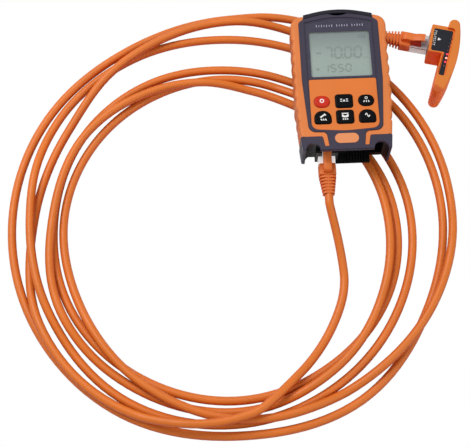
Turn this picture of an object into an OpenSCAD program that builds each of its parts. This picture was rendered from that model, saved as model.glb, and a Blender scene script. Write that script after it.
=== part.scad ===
// Pocket optical power meter with a plug-in cable-test remote and a looped patch cord.
// Millimetres. X runs across the meter, Y towards its ports, Z up from the table.

/* [Meter] */
// Width over the grips
body_w = 68; // [60:1:80]
// Length of the casing
body_l = 109; // [100:1:125]
// Depth from back to face
body_h = 28; // [27:0.5:34]
// Width across the lower end
foot_w = 61; // [56:1:64]
// Radius of the shoulders
shoulder_r = 8; // [5:0.5:10]
// Radius of the crowned upper end
crown_r = 72; // [60:1:120]
// Wall of the shells
wall = 2; // [1.6:0.1:2.4]
// Height of the parting line above the back
split_z = 15; // [14:0.5:16]

/* [Grips] */
// Thickness of the grip over the casing
grip_t = 2.4; // [2:0.1:3]
// How far the grip stays below the face
grip_drop = 0.7; // [0.4:0.1:1.2]
// Pitch of the finger scallops
scallop_pitch = 9; // [7:0.5:12]
// Depth of the finger scallops
scallop_d = 1; // [0.5:0.1:1.4]

/* [Face] */
// Width of the display opening
view_w = 42.6; // [36:0.2:44]
// Height of the border above the display
brow_h = 11.6; // [10:0.2:15]
// Width of the keypad panel
panel_w = 47; // [45:0.5:49]
// Height of the keypad panel
panel_l = 39.6; // [38:0.2:41]
// Spacing of the key columns
key_dx = 15.4; // [14:0.1:16]
// Spacing of the key rows
key_dy = 12; // [11.4:0.1:12.6]
// Travel of a key
key_travel = 0.8; // [0.4:0.1:0.8]
// Length of the pill badge
badge_w = 16.4; // [12:0.2:20]
// Height of the pill badge
badge_l = 7.2; // [6:0.2:9]

/* [Ports] */
// Diameter of a ferrule
ferrule_d = 2.5; // [1.25:0.05:2.5]
// Thickness of the dust cover from front to back
cover_t = 2.4; // [2.2:0.1:3]
// Diameter of the cover's hinge pin
pin_d = 2; // [1.6:0.1:2.2]

/* [Remote] */
// Length of the remote's bow
bow_l = 61; // [56:1:66]
// Rise of the bow's outer side
bow_rise = 3.8; // [3:0.2:5]
// Thickness of the bow's tips
bow_t = 8; // [7:0.2:9]
// Height of the remote
remote_h = 26; // [25:0.5:28]
// Length of the jack block along the bow
block_l = 22; // [21:0.5:23]
// Turn of the remote on the table
remote_turn = 14; // [8:1:20]

/* [Patch cord] */
// Diameter of the cord
cord_d = 6; // [5:0.1:6.2]
// Width of a modular plug
plug_w = 11.7; // [11.6:0.1:11.8]
// Length of a modular plug
plug_l = 23; // [22:0.5:24]

/* [Hidden] */
$fn = 48;

// Small sizes shared by many pieces
eps = 0.02; // overrun of a cut
gap = 0.2; // clearance round a loose fit
run_gap = 0.06; // radial clearance of a pin in its barrel
thin = 1.2; // thickness of small plates and ribs
edge_r = 1; // rounding of the face edge

// Where the meter and the remote lie on the table
meter_x = -28.2;
meter_z = 13;
remote_x = 39.87;
remote_y = 38.9;

// Levels of the meter above its back
deck_z = body_h - 2.5; // underside of the raised frame
deck_t = body_h - deck_z;
roof_z = deck_z - wall;
grip_top = body_h - grip_drop;
back_r = 3; // height of the rounded back edge
back_run = 6; // how far the back edge runs in
lip_w = 7; // width of the grip on the face
cover_zone = cover_t + gap;
cover_w = 49; // width of the dust cover
crown_y = body_l / 2; // highest point of the upper end
foot_y = -body_l / 2;
crown_drop = 7.9; // fall of the crown line from the middle to the side
horn_y = 10.6; // height of the dark lower corners
taper_share = 0.33;
soft_share = 0.7;

function unit(v) = v / norm(v);

// One corner of an outline, replaced by an arc of n steps
function corner(a, b, c, r, n) =
    let (u = unit(a - b), v = unit(c - b),
         half = acos(max(-1, min(1, u * v))) / 2,
         d = r / tan(half),
         o = b + unit(u + v) * (r / sin(half)),
         s = b + u * d - o,
         e = b + v * d - o,
         turn = atan2(s.x * e.y - s.y * e.x, s * e),
         start = atan2(s.y, s.x))
    [for (i = [0:n]) o + r * [cos(start + turn * i / n), sin(start + turn * i / n)]];

// An outline through the given corners, each rounded to its own radius
function outline(pts, rads, n = 6) =
    let (k = len(pts))
    [for (i = [0:k - 1]) each rads[i] <= 0 ? [pts[i]] :
        corner(pts[(i + k - 1) % k], pts[i], pts[(i + 1) % k], rads[i], n)];

// A half outline on the right, any points on the centre line, and the half mirrored
function both(half, mid = []) =
    concat(half, mid, [for (i = [len(half) - 1:-1:0]) [-half[i].x, half[i].y]]);
function both_r(half, mid = []) = concat(half, mid, [for (i = [len(half) - 1:-1:0]) half[i]]);
function raise(pts, z) = [for (p = pts) [p.x, p.y, z]];

// A closed solid through a stack of rings with equal numbers of points
module loft(rings) {
    n = len(rings[0]);
    m = len(rings);
    pts = [for (r = rings) each r];
    sides = [for (j = [0:m - 2], i = [0:n - 1])
        each [[j * n + i, (j + 1) * n + i, (j + 1) * n + (i + 1) % n],
              [j * n + i, (j + 1) * n + (i + 1) % n, j * n + (i + 1) % n]]];
    base = [[for (i = [0:n - 1]) i]];
    top = [[for (i = [n - 1:-1:0]) (m - 1) * n + i]];
    polyhedron(pts, concat(base, sides, top), convexity = 10);
}

// A plate of one outline between two levels
module plate(pts, z0, z1) {
    translate([0, 0, z0]) linear_extrude(z1 - z0) polygon(pts);
}

// A centred box on its base
module block(w, l, h, x = 0, y = 0, z = 0) {
    translate([x - w / 2, y - l / 2, z]) cube([w, l, h]);
}

crown_a = atan(crown_drop / (body_w / 2));
apex_y = crown_y + crown_r * (1 / cos(crown_a) - 1);
shoulder_y = apex_y - crown_drop;

// Straight line under the crown, drawn in by an inset
function crown_line(inset, x) = apex_y - inset - crown_drop * x / (body_w / 2 - inset);

// Outline of the whole meter, drawn in by an inset
function body_pts(inset = 0) =
    outline(both([[foot_w / 2 - inset, foot_y + inset],
                  [body_w / 2 - inset, foot_y + body_l * taper_share],
                  [body_w / 2 - inset, shoulder_y - inset]],
                 [[0, apex_y - inset]]),
            both_r([edge_r, crown_r, shoulder_r - inset], [crown_r - inset]), 8);

// Outline of the raised dark frame of the face, drawn in by an inset
frame_w = 56.6;
waist_w = 51.2; // width of the frame beside the lowest keys
strip_w = 2.8; // width of the orange strips that run to the foot
strip_end = 3.3; // dark margin below the strips
strip_top = 16.4; // where the strips turn down
strip_foot = 15.1; // where they end
function frame_pts(inset = 0) =
    let (y = foot_y + horn_y, i = inset)
    outline(both([[foot_w / 2 - i, foot_y + i],
                  [side_x(y) - i, y - i],
                  [strip_top + i, y - i],
                  [strip_foot + i, foot_y + strip_end - i],
                  [strip_foot - strip_w - i, foot_y + strip_end - i],
                  [strip_top - strip_w - i, y + strip_w + i],
                  [waist_w / 2 - i, y + strip_w + thin / 2 + i],
                  [frame_w / 2 - i, panel_y + panel_l / 2 - edge_r / 2],
                  [frame_w / 2 - i, shoulder_y - cover_zone - thin],
                  [cover_w / 2 - i / 2, crown_line(cover_zone + i, cover_w / 2 - i / 2)]],
                 [[0, crown_line(cover_zone + i, 0)]]),
            both_r([edge_r, edge_r, strip_w / 2, edge_r / 4, edge_r / 4,
                    strip_w, panel_r, crown_r, strip_w, edge_r], [crown_r - cover_zone]), 6);

// Places on the face, each from the end that it belongs to
end_y = crown_y - cover_zone; // end wall at the middle
lens_w = 47; // clear window with its printed border
lens_t = thin;
field_d = 0.6; // step from the frame down to the inner field
field_w = 49;
brow_t = 3.3; // frame above the inner field
field_top = end_y - brow_t;
panel_up = 14.4; // from the foot to the panel
panel_y = foot_y + panel_up + panel_l / 2; // middle of the keypad panel
sill_h = 1.9; // border between the panel and the display
view_low = panel_y + panel_l / 2 + sill_h;
view_h = field_top - brow_h - view_low;
view_y = view_low + view_h / 2; // middle of the display
panel_t = 1.8;
panel_r = 5;
key_up = 22.3; // from the panel's lower edge to the upper row of keys
key_y = foot_y + panel_up + key_up;
key_rise = 1; // how far a key stands above the panel
key_h = 3.6;
key_flange = 0.7; // collar under the panel that keeps a key in
flange_t = 0.8;
badge_up = 8.4; // middle of the badge above the foot
badge_y = foot_y + badge_up;
badge_t = 1;
board_z = 17.4;
board_t = 1.6;
board_top = board_z + board_t;
face_low = body_h - field_d; // level of the inner field
panel_top = face_low - gap;
key_floor = panel_top - panel_t - flange_t;

// Ports of the upper end
port_x = 13;
port_z = 14.4;
port_r = 4;
port_l = 14;
lamp_r = 2.4;
lamp_l = 7;
port_y = end_y - thin; // outer ends of the ports
hinge_y = port_y + thin / 2;
hinge_z = 2.4;
barrel_wall = 1;
barrel_r = pin_d / 2 + barrel_wall;
barrel_l = 18;
ear_l = 3.6;
cover_wall = 1.3;
notch_r = 16; // thumb notch beside the cover
notch_d = 2.4;

// Lower end: jack, bay for the remote and the pockets for the bow's tips
recess = 2.3; // from the foot to the jack
foot_d = 7; // reach of the dark room over and beside the jack
heel_h = 4.6; // the corners of the foot end this far above the back
heel_w = 13;
jack_x = -13.2;
jack_z = 7.5;
jack_w = 15.6;
jack_l = 18;
plug_h = 8;
latch_w = 6.2;
hood_h = 3.4; // hood over the plug's latch
hood_w = 5.8;
bay_x = 13.5;
bay_z = 4.2;
block_d = 12.4; // reach of the jack block from the bow
block_z = 3.5;
block_h = 20;
plug_play = 0.15; // clearance of a plug in its jack
bay_w = block_l + 2 * gap + thin;
bay_d = block_d + recess + thin;
bay_h = block_h + 2 * gap + thin / 2;
tip_x = 23.4;
tip_r = 5;

// Batteries
cell_d = 10.5;
cell_l = 44.5;
cell_pitch = 11.2;
cell_z = 7.6;
door_w = 37.6;
door_over = 6.6; // how far the door reaches past the cells
door_l = cell_l + 2 * door_over;
door_t = 1.6;

module placed() {
    translate([meter_x, 0, meter_z]) children();
}

module at_key(col, row) {
    translate([col * key_dx, key_y - row * key_dy, 0]) children();
}

// Casing inside the grips, with the full-width dark foot below them
module case_2d(inset = 0) {
    difference() {
        union() {
            polygon(body_pts(grip_t + inset));
            intersection() {
                polygon(body_pts(inset));
                translate([-body_w, foot_y - edge_r]) square([2 * body_w, horn_y - inset + edge_r]);
            }
        }
        cover_2d(inset);
    }
}

// Strip at the upper end that the dust cover fills
module cover_2d(grow = 0) {
    difference() {
        translate([-cover_w / 2 - grow - gap, crown_y - body_l / 4])
            square([cover_w + 2 * (grow + gap), body_l]);
        polygon(body_pts(cover_zone + grow));
    }
}

// Inner room of the shells, clear of the lower end and of the ports
room_low = foot_y + bay_d + wall;
room_high = port_y - port_l + wall;
cell_y = room_high - wall - door_l / 2; // middle of the door and of the cells
module room_2d(inset) {
    intersection() {
        polygon(body_pts(inset));
        translate([-body_w, room_low]) square([2 * body_w, room_high - room_low]);
    }
}

jack_top = board_z;
jack_low = jack_z - plug_h / 2 - plug_play - thin;
tongue_l = bay_d + 3 * wall; // part of the board that reaches over the jack
slot_open = foot_d - recess; // the jack's slot is open above this far in
screw_d = 2.2;
screw_head = 4.4;
screw_deep = 3;
screw_l = 13;
boss_r = 3.4;
screw_x = 22.6;
screw_low = room_low + boss_r + wall + gap;
screw_high = room_high + boss_r;
board_low = screw_low + boss_r + gap;
board_high = port_y - port_l - gap;
screw_spots = [for (x = [-screw_x, screw_x], y = [screw_low, screw_high]) [x, y]];

// Every cut that the lower end makes in the two shells
module foot_cuts() {
    block(bay_w, 2 * bay_d, bay_h, bay_x, foot_y, bay_z);
    block(jack_w + gap, jack_l + wall, jack_top - jack_low,
          jack_x, foot_y + recess + (jack_l + wall) / 2, jack_low);
    block(jack_w + gap, tongue_l, board_t + gap, jack_x, foot_y + recess + tongue_l / 2, jack_top - eps);
    translate([jack_x - jack_w / 2, foot_y - foot_d, jack_low + thin])
        cube([bay_x - jack_x + jack_w / 2, 2 * foot_d, deck_z - gap - jack_low - thin]);
    for (s = [-1, 1]) {
        translate([s * tip_x, foot_y + thin / 2, wall]) cylinder(r = tip_r, h = body_h);
        block(heel_w, 2 * foot_d, heel_h + eps, s * (foot_w - heel_w) / 2, foot_y, -eps);
    }
}

// Room of the port block in the upper end, and the block itself
block_half = port_x + port_r + thin;
module port_room(play = 0) {
    high = 2 * (port_r + thin + play);
    translate([0, 0, port_z - high / 2]) linear_extrude(high) intersection() {
        polygon(body_pts(cover_zone - play));
        translate([-block_half - play, room_high - play]) square([2 * (block_half + play), port_l]);
    }
}

// Round seats of the ports
module end_cuts() {
    for (s = [-1, 1]) translate([s * port_x, port_y - port_l, port_z])
        rotate([-90, 0, 0]) cylinder(r = port_r, h = 2 * port_l);
    translate([0, port_y - lamp_l, port_z])
        rotate([-90, 0, 0]) cylinder(r = lamp_r + gap / 4, h = 2 * lamp_l);
}

module x_rod(x0, x1, y, z, r) {
    translate([x0, y, z]) rotate([0, 90, 0]) cylinder(r = r, h = x1 - x0);
}

module rear_shell() {
    color("#48445a") placed() difference() {
        union() {
            difference() {
                union() {
                    loft([raise(body_pts(back_run), 0),
                          raise(body_pts(back_run - back_r / 2), back_r / 6),
                          raise(body_pts(grip_t + thin / 2), back_r / 2),
                          raise(body_pts(grip_t / 2), back_r)]);
                    translate([0, 0, back_r]) linear_extrude(split_z - back_r) case_2d();
                }
                translate([0, 0, wall]) linear_extrude(body_h) room_2d(back_run);
                translate([0, 0, -eps]) linear_extrude(back_r + 2 * eps) cover_2d();
                block(barrel_l + 2 * (ear_l + 2 * gap), 2 * (barrel_r + gap), hinge_z + barrel_r + gap,
                      0, hinge_y, -eps);
            }
            for (p = screw_spots) translate([p.x, p.y, thin]) cylinder(r = boss_r, h = split_z - thin);
            for (s = [-1, 1]) {
                e = s * (barrel_l / 2 + gap + ear_l / 2);
                x_rod(e - ear_l / 2, e + ear_l / 2, hinge_y, hinge_z, barrel_r);
                block(ear_l, 2 * barrel_r, 2 * barrel_r, e, hinge_y - barrel_r, hinge_z - barrel_r);
            }
            translate([0, door_screw_y, wall]) cylinder(r = door_boss_r, h = door_boss);
            block(2 * door_boss_r, door_over, door_boss, 0, door_screw_y + door_over / 2, wall);
        }
        x_rod(-body_w / 2, body_w / 2, hinge_y, hinge_z, pin_d / 2);
        block(door_w + 2 * gap, door_l + 2 * gap, wall + eps, 0, cell_y, -eps);
        translate([0, door_screw_y, 0]) cylinder(d = screw_d, h = door_screw_l + gap);
        foot_cuts();
        port_room(gap);
        for (p = screw_spots) translate([p.x, p.y, -eps]) {
            cylinder(d = screw_head + gap, h = screw_deep + 2 * eps);
            cylinder(d = screw_d + gap, h = body_h);
        }
    }
}

// Inner field of the face, one step below the frame
panel_arch = 1.8; // how far the lower edge of the panel bows down
function panel_pts(inset = 0) =
    let (low = panel_y - panel_l / 2 + inset)
    outline(concat([[0, low]], both([[panel_w / 2 - inset, low + panel_arch],
                                     [panel_w / 2 - inset, panel_y + panel_l / 2 - inset]])),
            concat([crown_r], both_r([panel_r - inset, thin])), 6);

function field_pts(inset = 0) =
    let (low = panel_y - panel_l / 2 - thin / 2 + inset)
    outline(concat([[0, low]], both([[panel_w / 2 + thin / 2 - inset, low + panel_arch],
                                     [field_w / 2 - inset, view_y],
                                     [field_w / 2 - inset, field_top - crown_drop / 2 - inset]],
                                    [[0, field_top + thin - inset]])),
            concat([crown_r], both_r([panel_r + thin / 2, crown_r, thin], [crown_r])), 6);

function lens_pts(inset = 0) =
    outline(both([[lens_w / 2 - inset, panel_y + panel_l / 2 + thin / 2 + inset],
                  [lens_w / 2 - inset, field_top - thin - crown_drop / 2 - inset]],
                 [[0, field_top - inset]]),
            both_r([thin, thin], [crown_r]), 6);

// Keys: column, row, width, height, upper and lower corner radius
keys = [[-1, 0, 11, 8.8, 4.3, 4.3], [0, 0, 12.2, 10.4, 2, 2], [1, 0, 11, 8.6, 4.2, 4.2],
        [-1, 1, 11.8, 10, 5.4, 2], [0, 1, 12.2, 10.4, 2, 2], [1, 1, 11.8, 10, 5.4, 2]];

function key_pts(k, inset = 0) =
    let (w = k[2] / 2 - inset, l = k[3] / 2 - inset,
         up = max(eps, k[4] - inset), low = max(eps, k[5] - inset))
    outline([[w, -l], [w, l], [-w, l], [-w, -l]], [low, up, up, low], 5);

key_room_w = 2 * key_dx + keys[1][2] + 2 * (key_flange + gap);
key_room_l = key_dy + keys[1][3] + 2 * (key_flange + gap);

module front_shell() {
    color("#48445a") placed() difference() {
        union() {
            difference() {
                union() {
                    translate([0, 0, split_z]) linear_extrude(deck_z - split_z) case_2d();
                    plate(frame_pts(), deck_z - thin, body_h - edge_r / 2);
                    plate(frame_pts(edge_r / 5), deck_z, body_h - edge_r / 5);
                    plate(frame_pts(edge_r / 2), deck_z, body_h);
                }
                translate([0, 0, split_z - eps]) linear_extrude(roof_z - split_z) room_2d(back_run - thin);
            }
            for (p = screw_spots) translate([p.x, p.y, split_z]) cylinder(r = boss_r, h = roof_z - split_z);
        }
        plate(field_pts(), face_low, body_h + edge_r);
        plate(lens_pts(-gap / 2), face_low - lens_t, body_h);
        block(view_w + thin, view_h + thin, body_h, 0, view_y, roof_z - edge_r);
        plate(panel_pts(-gap / 2), panel_top - panel_t, body_h);
        block(key_room_w, key_room_l, body_h, 0, key_y - key_dy / 2, roof_z - edge_r);
        translate([0, badge_y, 0]) plate(pill(gap / 4), body_h + gap - badge_t, body_h + edge_r);
        translate([0, end_y + notch_r - notch_d, body_h - 3 * thin]) cylinder(r = notch_r, h = body_h);
        foot_cuts();
        port_room(gap);
        for (p = screw_spots) translate([p.x, p.y, split_z - eps])
            cylinder(d = screw_d, h = screw_deep + screw_l - split_z + thin);
    }
}

function pill(grow = 0) =
    outline([[badge_w / 2 + grow, -badge_l / 2 - grow], [badge_w / 2 + grow, badge_l / 2 + grow],
             [-badge_w / 2 - grow, badge_l / 2 + grow], [-badge_w / 2 - grow, -badge_l / 2 - grow]],
            [for (i = [0:3]) badge_l / 2 + grow - eps], 8);

module badge_plate() {
    color("#e8925f") placed() translate([0, badge_y, 0]) plate(pill(), body_h + gap - badge_t, body_h + gap);
}

// Side line of the meter and the shoulder that the grip follows
taper_y = foot_y + body_l * taper_share;
grip_low = foot_y + horn_y + gap;
grip_x = cover_w / 2 + 2 * gap;
function side_x(y) = y > taper_y ? body_w / 2 :
    foot_w / 2 + (body_w - foot_w) / 2 * (y - foot_y) / (taper_y - foot_y);
shoulder = corner([body_w / 2, taper_y], [body_w / 2, shoulder_y], [0, apex_y], shoulder_r, 8);
grip_steps = 44;
grip_path = concat([for (i = [0:grip_steps - 1])
                       let (y = grip_low + (shoulder[0].y - grip_low) * i / grip_steps) [side_x(y), y]],
                   shoulder, [[grip_x, apex_y - crown_drop * grip_x / (body_w / 2)]]);
smooth_low = 21.5; // plain ends of the grips, below and above the scallops
smooth_high = 23.5;
scallop_low = foot_y + smooth_low;
scallop_high = crown_y - smooth_high;
function scallop(y) = y < scallop_low || y > scallop_high ? 0 :
    scallop_d * pow(abs(cos(180 * (y - scallop_low) / scallop_pitch)), 3);

// Cross-section of a grip: run inwards from the side line, and level
function grip_section(d) =
    [[lip_w, deck_z], [lip_w, grip_top], [grip_t, grip_top], [edge_r + d, grip_top - edge_r / 4],
     [edge_r / 4 + d, grip_top - edge_r], [d, grip_top - 2 * edge_r], [d, back_r + back_run],
     [edge_r / 3 + d * soft_share, back_r + grip_t], [grip_t / 2, back_r],
     [grip_t - eps, back_r], [grip_t - eps, deck_z]];

function grip_rings() =
    let (n = len(grip_path))
    [for (i = [0:n - 1])
        let (t = i == n - 1 ? [-1, 0] : unit(grip_path[min(i + 1, n - 1)] - grip_path[max(i - 1, 0)]),
             inward = [-t.y, t.x], p = grip_path[i])
        [for (q = grip_section(scallop(p.y))) [p.x + inward.x * q[0], p.y + inward.y * q[0], q[1]]]];

module grip(side) {
    color("#e28042") placed() mirror([side < 0 ? 1 : 0, 0, 0]) difference() {
        union() {
            loft(grip_rings());
            difference() {
                plate(body_pts(grip_t), deck_z, grip_top);
                translate([-body_w, grip_low + 2 * strip_w, 0]) cube([2 * body_w, body_l, body_h]);
                translate([-body_w, foot_y - edge_r, 0]) cube([body_w, body_l, body_h]);
            }
        }
        plate(frame_pts(), deck_z - edge_r, body_h);
    }
}

module grip_left() { grip(-1); }
module grip_right() { grip(1); }

module keypad_panel() {
    color("#e28042") placed() difference() {
        plate(panel_pts(), panel_top - panel_t, panel_top);
        for (k = keys) at_key(k[0], k[1]) plate(key_pts(k, -gap), 0, body_h);
    }
}

module lcd_window() {
    color("#2b2a33", 0.5) placed() plate(lens_pts(), face_low - lens_t, face_low);
}

module lcd_module() {
    color("#96a89c") placed() difference() {
        block(view_w + 2 * thin, view_h + 2 * thin, roof_z - edge_r - board_top, 0, view_y, board_top);
        block(view_w, view_h, thin, 0, view_y, roof_z - edge_r - thin / 2);
    }
}

module key(i) {
    k = keys[i];
    top = panel_top + key_rise;
    placed() at_key(k[0], k[1]) {
        loft([raise(key_pts(k), key_floor + eps), raise(key_pts(k), top - edge_r),
              raise(key_pts(k, edge_r / 4), top - edge_r / 3), raise(key_pts(k, edge_r), top)]);
        plate(key_pts(k, -key_flange), key_floor, key_floor + flange_t - eps);
    }
}

module key_power() { color("#de3e28") key(0); }
module key_reference() { color("#0c0e16") key(1); }
module key_laser() { color("#0c0e16") key(2); }
module key_lamp() { color("#0c0e16") key(3); }
module key_unit() { color("#0c0e16") key(4); }
module key_wave() { color("#0c0e16") key(5); }

// Silicone sheet with a post under each key
module key_mat() {
    color("#8d8f94") placed() {
        block(2 * (screw_x - boss_r - gap), key_room_l - thin, thin, 0, key_y - key_dy / 2, board_top);
        for (k = keys) at_key(k[0], k[1])
            translate([0, 0, board_top])
                cylinder(d = k[3] / 2, h = key_floor - key_travel - gap / 2 - board_top);
    }
}

// Cover of the upper end, hollow over the ports, with its barrel along the back edge
module dust_cover() {
    low = hinge_z - barrel_r / 4;
    color("#55525f") placed() difference() {
        union() {
            difference() {
                translate([0, 0, low]) linear_extrude(body_h - gap - low) difference() {
                    intersection() {
                        polygon(body_pts());
                        translate([-cover_w / 2, 0]) square([cover_w, body_l]);
                    }
                    polygon(body_pts(cover_t));
                }
                intersection() {
                    plate(body_pts(cover_wall), hinge_z + barrel_r + cover_wall, body_h - gap - cover_wall);
                    block(cover_w - 2 * cover_wall, body_l, body_h, 0, body_l / 2, 0);
                }
                for (s = [-1, 1]) {
                    e = s * (barrel_l / 2 + gap + ear_l / 2);
                    block(ear_l + 3 * gap, body_l, hinge_z + barrel_r + gap, e, body_l / 2, 0);
                }
            }
            x_rod(-barrel_l / 2, barrel_l / 2, hinge_y, hinge_z, barrel_r);
        }
        x_rod(-body_w / 2, body_w / 2, hinge_y, hinge_z, pin_d / 2 + run_gap);
    }
}

module cover_hinge_pin() {
    e = barrel_l / 2 + gap + ear_l;
    color("silver") placed() x_rod(-e, e, hinge_y, hinge_z, pin_d / 2);
}

// Moulded block that holds both ports and the lamp in the end wall
module port_block() {
    color("#2e2c38") placed() difference() {
        port_room();
        end_cuts();
    }
}

// Metal sleeve that takes a fibre ferrule
module port(x) {
    placed() translate([x, port_y - port_l, port_z]) rotate([-90, 0, 0]) difference() {
        union() {
            cylinder(r = port_r, h = port_l - 2 * thin);
            cylinder(r = port_r - thin, h = port_l);
        }
        translate([0, 0, thin]) cylinder(d = ferrule_d + 2 * run_gap, h = port_l);
    }
}

module optical_port() { color("#b9bcc2") port(-port_x); }
module laser_port() { color("#b9bcc2") port(port_x); }

module lamp_lens() {
    color("white", 0.6) placed() translate([0, port_y - lamp_l, port_z]) rotate([-90, 0, 0]) {
        cylinder(r = lamp_r, h = lamp_l - thin);
        translate([0, 0, lamp_l - thin]) cylinder(r = lamp_r - thin / 2, h = thin);
    }
}

module main_board() {
    color("#2d6a45") placed() difference() {
        union() {
            block(2 * screw_x + boss_r, board_high - board_low, board_t,
                  0, (board_high + board_low) / 2, board_z);
            block(jack_w - gap, tongue_l, board_t, jack_x, foot_y + foot_d + gap + tongue_l / 2, board_z);
        }
        for (p = screw_spots) translate([p.x, p.y, 0]) cylinder(r = boss_r + gap, h = body_h);
    }
}

// A bar of rounded section along X, centred on it
module bar(x0, x1, w, h, r, z = 0) {
    translate([x0, 0, z]) rotate([90, 0, 90]) linear_extrude(x1 - x0)
        polygon(outline([[w / 2, -h / 2], [w / 2, h / 2], [-w / 2, h / 2], [-w / 2, -h / 2]],
                        [for (i = [0:3]) r], 4));
}

wire_n = 8; // contacts of a plug
wire_pitch = 1.02;
wire_w = 0.5;
module wires(x0, x1, z0, z1) {
    for (i = [0:wire_n - 1])
        translate([x0, (i - (wire_n - 1) / 2) * wire_pitch - wire_w / 2, z0])
            cube([x1 - x0, wire_w, z1 - z0]);
}

// Jack, its mouth at the origin and its axis along X
slot_w = latch_w + 2 * gap;
module jack(depth, top, mouth) {
    low = -plug_h / 2 - plug_play - thin;
    difference() {
        translate([0, -jack_w / 2, low]) cube([depth, jack_w, top - low]);
        bar(-eps, mouth, plug_w + 2 * plug_play, plug_h + 2 * plug_play, edge_r / 4);
        translate([-eps, -slot_w / 2, 0]) cube([mouth + eps, slot_w, plug_h / 2 + hood_h + 2 * gap]);
        translate([-eps, -slot_w / 2, 0]) cube([slot_open, slot_w, top + eps]);
        jack_wires(mouth);
    }
}
module jack_wires(mouth) {
    low = -plug_h / 2 - plug_play;
    wires(thin, mouth + thin, low - thin / 2, low);
}

mouth_l = 15.9; // depth of the meter's jack
in_meter = 15.5; // how far the plug goes in
short_mouth = 8.6; // the same at the remote
in_remote = 8;
module at_jack() {
    placed() translate([jack_x, foot_y + recess, jack_z]) rotate([0, 0, 90]) children();
}
module meter_jack() { color("#17181c") at_jack() jack(jack_l, jack_top - jack_z, mouth_l); }
module meter_jack_contacts() { color("gold") at_jack() jack_wires(mouth_l); }

module battery_door() {
    color("#3d3a4d") placed() difference() {
        block(door_w, door_l, door_t, 0, cell_y, 0);
        for (i = [0:grip_lines - 1])
            block(door_w / 3, thin / 2, thin / 2, 0, cell_y - door_l / 2 + 2 * wall + i * thin, -eps);
        translate([0, door_screw_y, -eps]) {
            cylinder(d = screw_head + gap, h = screw_d / 2 + 2 * eps);
            cylinder(d = screw_d + gap, h = wall);
        }
    }
}
grip_lines = 4;
door_screw_y = cell_y + door_l / 2 - screw_head / 2 - thin;
door_screw_l = 5;
door_boss = 5; // boss for the door's screw
door_boss_r = screw_head / 2 + gap;

// Three cells side by side in their tray
module battery_cells() {
    color("#b8bcc4") placed() for (i = [-1:1])
        translate([i * cell_pitch, cell_y, cell_z]) rotate([-90, 0, 0]) {
            translate([0, 0, -cell_l / 2]) cylinder(d = cell_d, h = cell_l - thin);
            translate([0, 0, cell_l / 2 - thin]) cylinder(d = cell_d / 3, h = thin);
        }
}
module battery_contacts() {
    color("silver") placed() for (s = [-1, 1])
        block(3 * cell_pitch, thin / 2, 2 * (cell_z - wall), 0, cell_y + s * (cell_l / 2 + thin / 4), wall);
}

module screw(l) {
    difference() {
        union() {
            cylinder(d = screw_head, h = screw_d / 2);
            cylinder(d = screw_d, h = l);
        }
        translate([0, 0, -eps]) rotate([0, 0, 30]) cylinder(d = screw_head / 2, h = screw_d / 3, $fn = 6);
    }
}
module case_screws() {
    color("#50525a") placed() {
        for (p = screw_spots) translate([p.x, p.y, screw_deep - screw_d / 2]) screw(screw_l);
        translate([0, door_screw_y, 0]) screw(door_screw_l);
    }
}

// Remote: X away from the plug, Y along the bow
bow_x = 20.9; // outermost point of the bow
bow_y = -13.5;
bow_turn = -4.4; // the bow leans from the jack block
bow_pivot = [13, -21];
remote_split = 9;
remote_wall = 1.6;
label_z = block_z + block_h; // level of the block and of the label
label_t = 0.4;
plug_z = 11;
tip_cap = bow_t / 2;
tip_y = bow_l / 2 - tip_cap;
bow_r = (tip_y * tip_y + bow_rise * bow_rise) / (2 * bow_rise) + tip_cap;
bow_a = asin(tip_y / (bow_r - tip_cap));
module at_remote() {
    translate([remote_x, remote_y, 0]) rotate([0, 0, -remote_turn]) children();
}
function lean(p) = bow_pivot + [(p.x - bow_pivot.x) * cos(bow_turn) - (p.y - bow_pivot.y) * sin(bow_turn),
                                (p.x - bow_pivot.x) * sin(bow_turn) + (p.y - bow_pivot.y) * cos(bow_turn)];
function arc(c, r, a, b, n) = [for (i = [0:n]) c + r * [cos(a + (b - a) * i / n), sin(a + (b - a) * i / n)]];
function bow_pts(inset = 0) =
    let (c = [bow_x - bow_r, bow_y], t = [bow_x - bow_rise - tip_cap, bow_y])
    [for (p = concat(arc(c, bow_r - inset, -bow_a, bow_a, 20),
                     arc(t + [0, tip_y], tip_cap - inset, bow_a, 180, 8),
                     arc(t - [0, tip_y], tip_cap - inset, 180, 360 - bow_a, 8))) lean(p)];
function jack_pts(inset = 0, deep = 0) =
    outline([[block_d + deep, -block_l / 2 + inset], [block_d + deep, block_l / 2 - inset],
             [inset, block_l / 2 - inset], [inset, -block_l / 2 + inset]],
            [0, 0, edge_r, edge_r], 4);

// Label: a field over the block and a strip that runs down the bow
strip_low = -29;
strip_in = 11;
strip_out = 14.5;
label_in = 2;
label_low = -10;
label_high = 8;
function label_pts(grow = 0) =
    let (r = edge_r + grow, g = grow)
    outline([lean([strip_in - g, strip_low - g]), lean([strip_out + g, strip_low - g]),
             [strip_out + thin + g, label_high + g], [label_in - g, label_high + g],
             [label_in - g, label_low - g], lean([strip_in - g, label_low]) - [0, g]],
            [r, r, r, r, r, edge_r], 4);

module remote_cavity() {
    plate(bow_pts(remote_wall), remote_wall, label_z - remote_wall);
    plate(jack_pts(remote_wall, remote_wall + thin), block_z + remote_wall, label_z - remote_wall);
}
led_n = 8;
led_pitch = 3.2;
led_d = 1.6;
led_x = 13.5;
led_y = 1.6;
led_shift = 0.05; // each light stands this much nearer the jack than the last
function led_at(i) = lean([led_x - i * led_shift, led_y - i * led_pitch]);

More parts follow.
